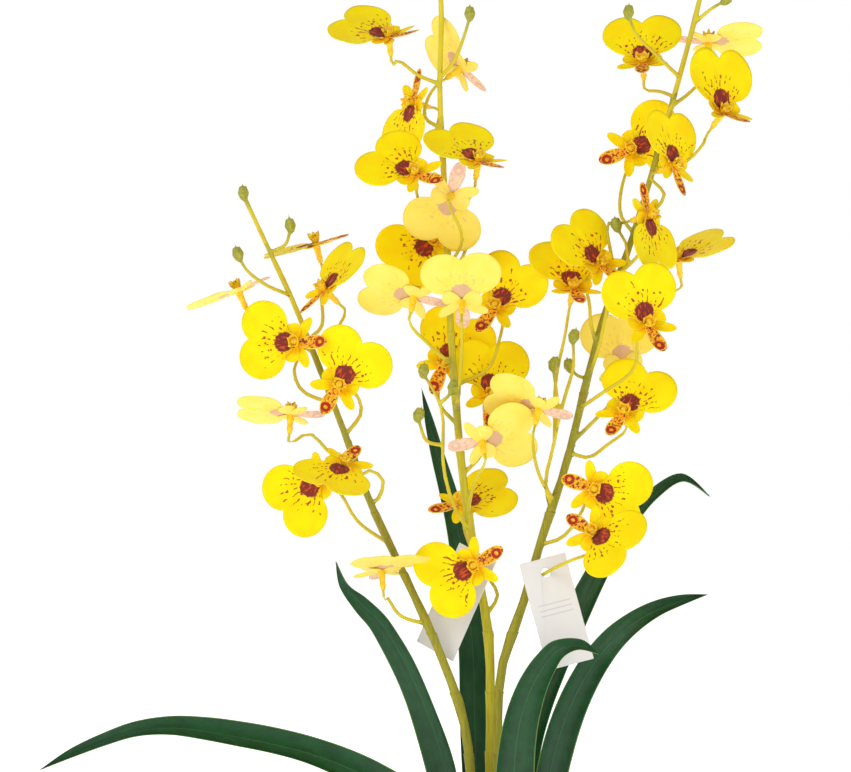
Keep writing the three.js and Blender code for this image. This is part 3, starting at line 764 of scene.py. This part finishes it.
    def ray_petal(self, bm: bmesh.types.BMesh, kind: PetalKind, turn: float, reach: float, half: float,
                  fullness: float, drop: float, lift: float) -> None:
        """Adds one narrow petal that runs out from the throat.

        Args:
            bm: the bloom's bmesh.
            kind: the petal's kind.
            turn: its angle from the lip, in radians.
            reach: its length.
            half: half its width.
            fullness: where along it the widest place is, 0 to 1.
            drop: how far behind the lip it starts.
            lift: the bloom's lift.
        """
        curl = self.dice.uniform(-1.6, 1.2)
        sway = self.dice.uniform(-0.06, 0.06)
        twist = self.dice.uniform(-0.25, 0.25)
        out = Vector((math.sin(turn), math.cos(turn)))
        aside = Vector((out.y, -out.x))

        def shape(u: float, v: float) -> Vector:
            """The place of a point on the petal."""
            along = 0.5 - 0.5 * math.cos(math.pi * v)
            swell = math.sin(math.pi * min(along / fullness, 1.0) / 2.0) ** 0.9
            tip = math.sqrt(max(0.0, 1.0 - max(0.0, (along - fullness) / (1.0 - fullness)) ** 2.2))
            width = half * (0.34 + 0.66 * swell) * tip
            place = out * (0.8 + (reach - 0.8) * along) + aside * (width * u + sway * reach * along**2)
            trough = 0.55 * (1.0 - u * u) * half / 3.0 * math.sin(math.pi * along)
            z = self.raise_at(place.x, place.y, lift) - drop - trough + curl * along**2.2
            return Vector((place.x, place.y, z + twist * width * u * along))

        self.blade(bm, kind, 10, 14, shape)

    def column(self, bm: bmesh.types.BMesh) -> None:
        """Adds the pegged column at the throat and the collar behind it."""
        part = bmesh.new()
        part.verts.layers.float.new("front")
        hollow_shade = part.verts.layers.float.new("hollow_shade")
        pegs = 5
        sides = pegs * 6
        ring = bmesh.ops.create_circle(part, segments=sides, radius=1.5, cap_ends=False)["verts"]
        levels = ((1.7, 0.9), (2.3, 1.8), (2.7, 2.6), (2.95, 3.5), (3.25, 4.6))
        edges = list({e for v in ring for e in v.link_edges})
        for level, (radius, height) in enumerate(levels):
            grown = bmesh.ops.extrude_edge_only(part, edges=edges)["geom"]
            verts = [g for g in grown if isinstance(g, bmesh.types.BMVert)]
            edges = [g for g in grown if isinstance(g, bmesh.types.BMEdge)]
            for vert in verts:
                turn = math.atan2(vert.co.y, vert.co.x)
                peg = max(0.0, math.cos(turn * pegs)) ** 0.7
                open_to = radius if level < 3 else 2.7 + (radius - 2.7) * (0.25 + 0.75 * peg)
                rise = height if level < 3 else 2.6 + (height - 2.6) * peg
                vert.co = Vector((math.cos(turn) * open_to, math.sin(turn) * open_to * 0.86, rise))
        bmesh.ops.recalc_face_normals(part, faces=part.faces)
        bmesh.ops.solidify(part, geom=list(part.faces), thickness=0.55)
        knob = bmesh.ops.create_icosphere(part, subdivisions=3, radius=1.45)["verts"]
        for vert in knob:
            vert.co = Vector((vert.co.x, vert.co.y * 1.25 - 0.3, vert.co.z * 1.25 + 1.9))
        # Marks how deep in the cup each point lies, for the painted shade that the column finish puts in its
        # hollows.
        for vert in part.verts:
            inside = max(0.0, 1.0 - math.hypot(vert.co.x, vert.co.y) / 2.0)
            vert[hollow_shade] = inside * (1.0 if vert.co.z < 2.4 else 0.45)
        bmesh.ops.scale(part, vec=(self.column_scale,) * 3, verts=part.verts)
        collar = ((0.0, -0.2), (2.0, -0.25), (2.35, -0.7), (2.2, -1.8), (1.95, -3.6), (1.65, -6.2), (1.5, -8.0),
                  (1.75, -8.7), (1.75, -9.4), (1.4, -10.0), (1.3, -11.5), (0.0, -11.7))
        spun(part, list(collar), 20)
        for face in part.faces:
            face.material_index = PetalKind.COLUMN.value
        self._join(bm, part)

    def build(self, materials: list[bpy.types.Material]) -> bpy.types.Object:
        """Builds the bloom.

        Args:
            materials: the materials in PetalKind's order.

        Returns:
            The piece, which stands for the CAD node.
        """
        self.dice.seed(self.node)
        stance = self.stance()
        bm = bmesh.new()
        bm.loops.layers.uv.new("print")
        self.lip(bm, stance.lift)
        for side in (-1.0, 1.0):
            self.ray_petal(bm, PetalKind.PLAIN, side * self.ear_turn, self.ear_reach, self.ear_half,
                           0.62, 0.5, stance.lift)
            self.ray_petal(bm, PetalKind.PLAIN, side * self.sepal_turn, self.sepal_reach, self.sepal_half,
                           0.5, 1.0, stance.lift)
        self.ray_petal(bm, PetalKind.TONGUE, math.pi, self.tongue_reach, self.tongue_half, 0.6, 0.3,
                       stance.lift)
        self.column(bm)
        seed = bm.verts.layers.float.new("bloom_seed")
        number = self.dice.random()
        for vert in bm.verts:
            vert[seed] = number
        bm.transform(stance.matrix())
        piece = piece_from(bm, "shown_" + self.node, materials)
        settle(piece, [self.node], "bloom")
        return piece


# ---------------------------------------------------------------- stems


@dataclass
class FlowerStem:
    """One flower stem, with its rods, stalks, buds and bracts grown together."""

    node: str
    finish: StemFinish
    voxel: float = 0.00052
    relax: int = 3
    bud_girth: float = 0.0050
    bud_above: float = 0.330
    knot_pitch: float = 0.033
    knot_swell: float = 0.00042

    def build(self) -> bpy.types.Object:
        """Builds the stem from its CAD solid, as one smooth skin.

        Returns:
            The piece, which stands for the CAD node.
        """
        piece = piece_from(merged(self.node), "shown_" + self.node, [])
        remesh = piece.modifiers.new("skin", "REMESH")
        remesh.mode = "VOXEL"
        remesh.voxel_size = self.voxel
        baked_modifiers(piece)
        bm = bmesh.new()
        bm.from_mesh(piece.data)
        for _ in range(self.relax):
            bmesh.ops.smooth_vert(bm, verts=bm.verts, factor=0.5, use_axis_x=True, use_axis_y=True,
                                  use_axis_z=True)
        self._girths(bm)
        self._knots(bm)
        bm.to_mesh(piece.data)
        bm.free()
        piece.data.materials.clear()
        piece.data.materials.append(self.finish.build())
        piece.data.shade_smooth()
        settle(piece, [self.node], "stem")
        return piece

    def _knots(self, bm: bmesh.types.BMesh) -> None:
        """Swells the rod up to each knot, where the next length comes out of it a little thinner."""
        girth = bm.verts.layers.float["girth"]
        is_bud = bm.verts.layers.float["bud"]
        for vert in bm.verts:
            part = (vert.co.z / self.knot_pitch) % 1.0
            rod = min(1.0, max(0.0, (vert[girth] - 2.9) / 0.6)) * (1.0 - vert[is_bud])
            vert.co += vert.normal * self.knot_swell * part**7 * rod

    def _girths(self, bm: bmesh.types.BMesh) -> None:
        """Stores how thick the stem is at each vertex, in millimetres, and where the buds are."""
        bm.normal_update()
        tree = BVHTree.FromBMesh(bm)
        girth = bm.verts.layers.float.new("girth")
        is_bud = bm.verts.layers.float.new("bud")
        for vert in bm.verts:
            inward = -vert.normal
            hit = tree.ray_cast(vert.co + inward * self.voxel * 0.5, inward, 0.012)
            vert[girth] = (hit[3] + self.voxel * 0.5) / MM if hit[3] is not None else 0.0
        for _ in range(4):
            spread = [sum(e.other_vert(v)[girth] for e in v.link_edges) / max(1, len(v.link_edges))
                      for v in bm.verts]
            for vert, value in zip(bm.verts, spread):
                vert[girth] = vert[girth] * 0.4 + value * 0.6
        for vert in bm.verts:
            high = vert.co.z > self.bud_above
            grow = (vert[girth] * MM - self.bud_girth) / (self.bud_girth * 0.16)
            vert[is_bud] = min(1.0, max(0.0, grow)) if high else 0.0
        for _ in range(14):
            spread = [max(e.other_vert(v)[is_bud] for e in v.link_edges) for v in bm.verts]
            for vert, value in zip(bm.verts, spread):
                vert[is_bud] = max(vert[is_bud], value * 0.93)


# ---------------------------------------------------------------- leaves


@dataclass
class StrapLeaf:
    """A strap leaf with a sharp midrib fold, thin edges and a gentle wave."""

    node: str
    rows: int = 110
    columns: int = 24
    middle_thick: float = 0.0011
    edge_thick: float = 0.00035
    wave: float = 0.0006

    def _stations(self) -> list[tuple[Vector, Vector, Vector]]:
        """Reads the left edge, midrib and right edge of the CAD leaf, from foot to tip."""
        bm = merged(self.node)
        clusters = [sorted(bm.verts, key=lambda v: (v.co - near.co).length)[:6] for near in bm.verts]
        layer = min(clusters, key=lambda c: (c[5].co - c[0].co).length)
        seen: set[bmesh.types.BMVert] = set()
        found: list[tuple[Vector, Vector, Vector]] = []
        tip = sum((v.co for v in layer), Vector()) / len(layer)
        found.append((tip, tip.copy(), tip.copy()))
        while True:
            seen.update(layer)
            layer = list({e.other_vert(v) for v in layer for e in v.link_edges} - seen)
            if len(layer) < 6:
                break
            found.append(self._station(layer, found[-1]))
        bm.free()
        return list(reversed(found))

    def _station(self, layer: list[bmesh.types.BMVert], last: tuple[Vector, Vector, Vector]
                 ) -> tuple[Vector, Vector, Vector]:
        """Sorts one ring of six corners into a left edge, a midrib and a right edge.

        Args:
            layer: the ring's six corners.
            last: the station before it.

        Returns:
            The three places, in the same order as the last station.
        """
        rest = [v.co.copy() for v in layer]
        pairs = []
        while rest:
            one = rest.pop()
            two = min(rest, key=lambda p: (p - one).length)
            rest.remove(two)
            pairs.append((one + two) / 2.0)
        spans = [(pairs[i] - pairs[j]).length for i, j in ((1, 2), (0, 2), (0, 1))]
        middle = pairs.pop(spans.index(max(spans)))
        left, right = pairs
        straight = (left - last[0]).length + (right - last[2]).length
        crossed = (left - last[2]).length + (right - last[0]).length
        if straight > crossed:
            left, right = right, left
        return left, middle, right

    def build(self, material: bpy.types.Material) -> bpy.types.Object:
        """Builds the leaf.

        Args:
            material: the leaf's finish.

        Returns:
            The piece, which stands for the CAD node.
        """
        stations = self._stations()
        dice = random.Random(self.node)
        phase = dice.uniform(0.0, math.tau)
        bm = bmesh.new()
        blade = bm.loops.layers.uv.new("blade")
        front = bm.verts.layers.float.new("front")
        bmesh.ops.create_grid(bm, x_segments=self.columns, y_segments=self.rows, size=1.0)
        inward: dict[bmesh.types.BMVert, tuple[Vector, float, float, float]] = {}
        for vert in bm.verts:
            u, v = vert.co.x, (vert.co.y + 1.0) / 2.0
            vert.co, normal = self._place(stations, u, v, phase)
            inward[vert] = (normal, u, v, self._thickness(u))
        for face in bm.faces:
            for loop in face.loops:
                _, u, v, _ = inward[loop.vert]
                loop[blade].uv = (u, v)
        grown = bmesh.ops.duplicate(bm, geom=list(bm.verts) + list(bm.edges) + list(bm.faces))
        copies = grown["vert_map"]
        for vert, (normal, _, _, thick) in inward.items():
            vert[front] = 1.0
            copies[vert][front] = 0.0
            copies[vert].co = vert.co - normal * thick / 2.0
            vert.co = vert.co + normal * thick / 2.0
        bmesh.ops.bridge_loops(bm, edges=[e for e in bm.edges if e.is_boundary])
        bmesh.ops.recalc_face_normals(bm, faces=bm.faces)
        piece = piece_from(bm, "shown_" + self.node, [material])
        settle(piece, [self.node], "leaf")
        return piece

    def _thickness(self, u: float) -> float:
        """How thick the leaf is at a share of its half width."""
        return self.edge_thick + (self.middle_thick - self.edge_thick) * (1.0 - abs(u) ** 1.5)

    def _place(self, stations: list[tuple[Vector, Vector, Vector]], u: float, v: float, phase: float
               ) -> tuple[Vector, Vector]:
        """The middle of the blade at a place, and the way its upper face looks there.

        Args:
            stations: the left edge, midrib and right edge, from foot to tip.
            u: across, -1 at the left edge to 1 at the right.
            v: along, 0 at the foot to 1 at the tip.
            phase: where the wave starts.

        Returns:
            The point and its normal.
        """
        left, middle, right = (self._along([s[k] for s in stations], v) for k in range(3))
        edge = right if u >= 0.0 else left
        point = middle.lerp(edge, abs(u))
        across = right - left
        ahead = self._along([s[1] for s in stations], min(1.0, v + 0.01))
        behind = self._along([s[1] for s in stations], max(0.0, v - 0.01))
        run = (ahead - behind).normalized()
        up = across.cross(run)
        up = up.normalized() if up.length > 1e-9 else Vector((0.0, 0.0, 1.0))
        fold = (left + right) / 2.0 - middle
        if fold.dot(up) < 0.0:
            up = -up
        half = across.length / 2.0
        bow = 0.16 * half * math.sin(math.pi * abs(u)) - 0.05 * half * abs(u) ** 3
        turn = v * 17.0 + phase + (1.7 if u > 0.0 else 0.0)
        ripple = self.wave * abs(u) ** 2 * math.sin(turn) * math.sin(math.pi * v)
        return point + up * (ripple - bow), up

    @staticmethod
    def _along(points: list[Vector], v: float) -> Vector:
        """A Catmull-Rom curve through evenly spaced points."""
        last = len(points) - 1
        place = min(max(v, 0.0), 1.0) * last
        i = min(int(place), last - 1)
        t = place - i
        p0, p1, p2, p3 = (points[min(max(k, 0), last)] for k in range(i - 1, i + 3))
        return (p1 * 2.0 + (p2 - p0) * t + (p0 * 2.0 - p1 * 5.0 + p2 * 4.0 - p3) * t**2
                + (p1 * 3.0 - p0 - p2 * 3.0 + p3) * t**3) / 2.0


# ---------------------------------------------------------------- tags, pot and medium


@dataclass
class HangTag:
    """A stiff card, hung by its punched hole."""

    node: str
    finish: CardFinish
    soften: float = 0.00012

    def build(self) -> bpy.types.Object:
        """Builds the card from its CAD solid, with softened edges.

        Returns:
            The piece, which stands for the CAD node.
        """
        bm = merged(self.node)
        bmesh.ops.dissolve_limit(bm, angle_limit=0.02, verts=bm.verts, edges=bm.edges)
        big = max(bm.faces, key=lambda f: f.calc_area())
        normal = big.normal.copy() if big.normal.y < 0.0 else -big.normal
        long = max(bm.edges, key=lambda e: e.calc_length())
        up = (long.verts[0].co - long.verts[1].co).normalized()
        up = up if up.z > 0.0 else -up
        right = up.cross(normal)
        hole = [v.co for v in bm.verts if len(v.link_edges) == 3]
        centre = sum((p for p in hole), Vector()) / len(hole)
        sharp = [e for e in bm.edges if len(e.link_faces) == 2 and e.calc_face_angle(0.0) > 1.0]
        bmesh.ops.bevel(bm, geom=sharp, offset=self.soften, segments=2, profile=0.5, affect="EDGES",
                        material=-1)
        sheet = bm.loops.layers.uv.new("card")
        for face in bm.faces:
            for loop in face.loops:
                away = (loop.vert.co - centre) / MM
                loop[sheet].uv = (away.dot(right), away.dot(up))
        piece = piece_from(bm, "shown_" + self.node, [self.finish.build()])
        piece.data.set_sharp_from_angle(angle=math.radians(50.0))
        settle(piece, [self.node], "tag")
        return piece


@dataclass
class Pot:
    """A tapered pot with a thick rim and drain holes."""

    height: float = 0.120
    rim_radius: float = 0.068
    base_radius: float = 0.050
    wall: float = 0.004
    floor: float = 0.006
    rim_height: float = 0.014
    rim_proud: float = 0.0035
    drain_radius: float = 0.005
    drain_ring: float = 0.027
    drains: int = 4
    sides: int = 128

    def radius_at(self, z: float) -> float:
        """The outer radius below the rim at a height."""
        return self.base_radius + (self.rim_radius - self.base_radius) * z / self.height

    def _profile(self) -> list[tuple[float, float]]:
        """The wall's outline from the middle of the base, up, over the rim and back to the middle."""
        rim_foot = self.height - self.rim_height
        lip = self.rim_radius + self.rim_proud
        inner = self.rim_radius - self.wall
        outer = [(0.0, 0.0), (self.base_radius - 0.006, 0.0), (self.base_radius - 0.0045, 0.0006)]
        outer += [(self.base_radius - 0.0010, 0.0006), (self.base_radius, 0.0018)]
        outer += [(self.radius_at(z), z) for z in (0.03, 0.06, 0.09, rim_foot - 0.002)]
        outer += [(self.radius_at(rim_foot) + 0.0004, rim_foot - 0.0004), (lip - 0.0006, rim_foot + 0.0004)]
        outer += [(lip, rim_foot + 0.0012), (lip, self.height - 0.0020)]
        middle = (lip + inner) / 2.0
        half = (lip - inner) / 2.0
        turns = [math.pi * k / 8.0 for k in range(1, 8)]
        outer += [(middle + half * math.cos(t), self.height - 0.0020 + 0.0020 * math.sin(t)) for t in turns]
        below = self.height - 0.02
        outer += [(inner, self.height - 0.0020), (self.radius_at(below) - self.wall, below)]
        outer += [(self.radius_at(self.floor) - self.wall + 0.0002, self.floor + 0.002)]
        outer += [(self.radius_at(self.floor) - self.wall - 0.0018, self.floor), (0.0, self.floor)]
        return outer

    def build(self) -> bpy.types.Object:
        """Builds the pot.

        Returns:
            The piece, which stands for the CAD node.
        """
        bm = bmesh.new()
        spun(bm, self._profile(), self.sides)
        piece = piece_from(bm, "shown_pot", [PotFinish().build()])
        drills = bmesh.new()
        for i in range(self.drains):
            turn = math.pi * (2 * i + 1) / self.drains
            across, ahead = self.drain_ring * math.cos(turn), self.drain_ring * math.sin(turn)
            place = Matrix.Translation((across, ahead, 0.003))
            bmesh.ops.create_cone(drills, cap_ends=True, segments=32, radius1=self.drain_radius,
                                  radius2=self.drain_radius, depth=0.02, matrix=place)
        cutter = piece_from(drills, "drills", [])
        cut = piece.modifiers.new("drains", "BOOLEAN")
        cut.object = cutter
        cut.solver = "EXACT"
        baked_modifiers(piece)
        bpy.data.objects.remove(cutter)
        piece.data.shade_smooth()
        piece.data.set_sharp_from_angle(angle=math.radians(35.0))
        settle(piece, ["pot"], "pot")
        return piece


@dataclass
class Medium:
    """The growing medium: a rough bed with bark chips strewn over it."""

    chips: int = 520
    bed_radius: float = 0.0610
    keep_off: float = 0.0046
    crown_base: float = 0.1085
    crown: float = 0.0048

    def _height(self, radius: float) -> float:
        """How high the bed is at a distance from the middle."""
        return self.crown_base + self.crown * max(0.0, 1.0 - (radius / self.bed_radius) ** 2)

    def build(self) -> bpy.types.Object:
        """Builds the bed and its chips.

        Returns:
            The piece, which stands for the CAD node.
        """
        bm = merged("soil")
        tone = bm.verts.layers.float.new("tone")
        for vert in bm.verts:
            vert[tone] = 0.15
        dice = random.Random(7)
        taken = self._feet()
        made = 0
        while made < self.chips:
            radius = self.bed_radius * math.sqrt(dice.random()) * 0.96
            turn = dice.uniform(0.0, math.tau)
            spot = Vector((radius * math.cos(turn), radius * math.sin(turn), 0.0))
            if any((spot - foot).length < self.keep_off for foot in taken):
                continue
            self._chip(bm, dice, spot, tone)
            made += 1
        bark = BarkFinish("bark", (0.035, 0.017, 0.008), (0.23, 0.12, 0.055))
        piece = piece_from(bm, "shown_soil", [bark.build()])
        piece.data.set_sharp_from_angle(angle=math.radians(30.0))
        settle(piece, ["soil"], "soil")
        return piece

    def _feet(self) -> list[Vector]:
        """Where stems and leaves pass through the bed."""
        feet = []
        for name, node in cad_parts.items():
            if name.startswith(("stem", "leaf")):
                near = [v.co for v in node.data.vertices if v.co.z < 0.118]
                if near:
                    middle = sum(near, Vector()) / len(near)
                    feet.append(Vector((middle.x, middle.y, 0.0)))
        return feet

    def _chip(self, bm: bmesh.types.BMesh, dice: random.Random, spot: Vector,
              tone: bmesh.types.BMLayerItem) -> None:
        """Adds one bark chip, a bevelled and pulled block.

        Args:
            bm: the medium's bmesh.
            dice: the seeded source of chance.
            spot: where it lies.
            tone: the layer that holds its tone.
        """
        size = Vector((dice.uniform(0.004, 0.010), dice.uniform(0.003, 0.006), dice.uniform(0.0014, 0.0028)))
        size *= 0.75 if spot.length > self.bed_radius * 0.85 else 1.0
        turn = Matrix.Rotation(dice.uniform(0.0, math.tau), 4, "Z")
        tilt = Matrix.Rotation(dice.gauss(0.0, 0.28), 4, "X") @ Matrix.Rotation(dice.gauss(0.0, 0.28), 4, "Y")
        height = self._height(spot.length) + dice.uniform(-0.0006, 0.0018)
        place = Matrix.Translation((spot.x, spot.y, height)) @ turn @ tilt @ Matrix.Diagonal((*size, 1.0))
        verts = bmesh.ops.create_cube(bm, size=1.0)["verts"]
        for vert in verts:
            vert.co += Vector([dice.uniform(-0.2, 0.2) for _ in range(3)])
        edges = list({e for v in verts for e in v.link_edges})
        grown = bmesh.ops.bevel(bm, geom=edges, offset=0.14, segments=1, profile=0.5, affect="EDGES",
                                material=-1)
        fresh = list({v for f in grown["faces"] for v in f.verts})
        bmesh.ops.transform(bm, matrix=place, verts=fresh)
        shade = dice.uniform(0.0, 1.0)
        for vert in fresh:
            vert[tone] = shade


# ---------------------------------------------------------------- stage


@dataclass
class Studio:
    """A pale floor, soft lights and the camera."""

    distance: float = 2.2
    aim: tuple[float, float, float] = (-0.0338, 0.0, 0.3662)
    frame_width: float = 0.468
    sensor: float = 36.0
    surround: float = 0.42

    def build(self) -> None:
        """Adds the floor, the lights and the camera."""
        self._floor()
        self._world()
        self._light("key", (-1.4, -1.7, 1.7), 1.4, 23.0)
        self._light("fill", (1.8, -1.6, 1.0), 1.6, 10.0)
        self._light("back", (0.3, 1.8, 1.5), 1.8, 10.0)
        self._camera()

    def _floor(self) -> None:
        """A broad pale disc under the pot."""
        bm = bmesh.new()
        bmesh.ops.create_circle(bm, cap_ends=True, segments=96, radius=6.0)
        bm.transform(Matrix.Translation((0.0, 0.0, -0.0002)))
        sh = Shader("floor_pale")
        tone = sh.noise(sh.place(), 3.0, 2.0)
        material = sh.finish(sh.mix(tone, (0.90, 0.90, 0.90), (0.93, 0.93, 0.93)), 0.8, Emission_Strength=0.75,
                             Emission_Color=(1.0, 1.0, 1.0, 1.0), Specular_IOR_Level=0.1)
        piece_from(bm, "floor", [material])

    def _world(self) -> None:
        """An even white surround."""
        world = bpy.data.worlds.new("studio")
        world.use_nodes = True
        tree = world.node_tree
        background = next(n for n in tree.nodes if n.type == "BACKGROUND")
        background.inputs["Color"].default_value = (1.0, 1.0, 1.0, 1.0)
        path = tree.nodes.new("ShaderNodeLightPath")
        strength = tree.nodes.new("ShaderNodeMapRange")
        strength.inputs["To Min"].default_value = self.surround
        tree.links.new(path.outputs["Is Camera Ray"], strength.inputs["Value"])
        tree.links.new(strength.outputs[0], background.inputs["Strength"])
        bpy.context.scene.world = world

    def _light(self, name: str, place: tuple[float, float, float], size: float, power: float) -> None:
        """Adds one area light that looks at the middle of the plant.

        Args:
            name: the light's name.
            place: where it stands.
            size: its side.
            power: its power in watts.
        """
        data = bpy.data.lights.new(name, "AREA")
        data.size = size
        data.energy = power
        light = bpy.data.objects.new(name, data)
        light.location = place
        light.rotation_euler = (Vector(self.aim) - Vector(place)).to_track_quat("-Z", "Y").to_euler()
        bpy.context.scene.collection.objects.link(light)

    def _camera(self) -> None:
        """Adds the camera, level with the middle of the blooms, looking along +Y."""
        data = bpy.data.cameras.new("camera")
        data.sensor_width = self.sensor
        data.lens = self.sensor * self.distance / self.frame_width
        data.clip_end = 50.0
        camera = bpy.data.objects.new("camera", data)
        camera.location = (self.aim[0], -self.distance, self.aim[2])
        camera.rotation_euler = (math.pi / 2.0, 0.0, 0.0)
        bpy.context.scene.collection.objects.link(camera)
        bpy.context.scene.camera = camera


def main() -> None:
    """Builds every piece in order and reports it."""
    logging.basicConfig(level=logging.INFO, format="%(message)s")
    Studio().build()
    bpy.context.scene.view_settings.view_transform = "Standard"
    Pot().build()
    Medium().build()
    olive = StemFinish("stem_olive", (0.36, 0.32, 0.008), (0.26, 0.24, 0.006))
    yellow = StemFinish("stem_yellow", (0.62, 0.53, 0.012), (0.50, 0.43, 0.009))
    for node, finish in (("stem_left", olive), ("stem_middle", yellow), ("stem_right", olive)):
        FlowerStem(node, finish).build()
    leaf_finish = LeafFinish().build()
    for node in sorted(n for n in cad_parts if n.startswith("leaf_")):
        StrapLeaf(node).build(leaf_finish)
    petals = [LipFinish().build(), PetalFinish().build(), TongueFinish().build(), ColumnFinish().build()]
    for node in sorted(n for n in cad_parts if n.startswith("bloom_")):
        Bloom(node).build(petals)
    HangTag("tag_left", CardFinish("card_plain")).build()
    HangTag("tag_right", CardFinish("card_ruled", lines=(14.0, 17.0, 20.0))).build()


if __name__ == "__main__":
    main()
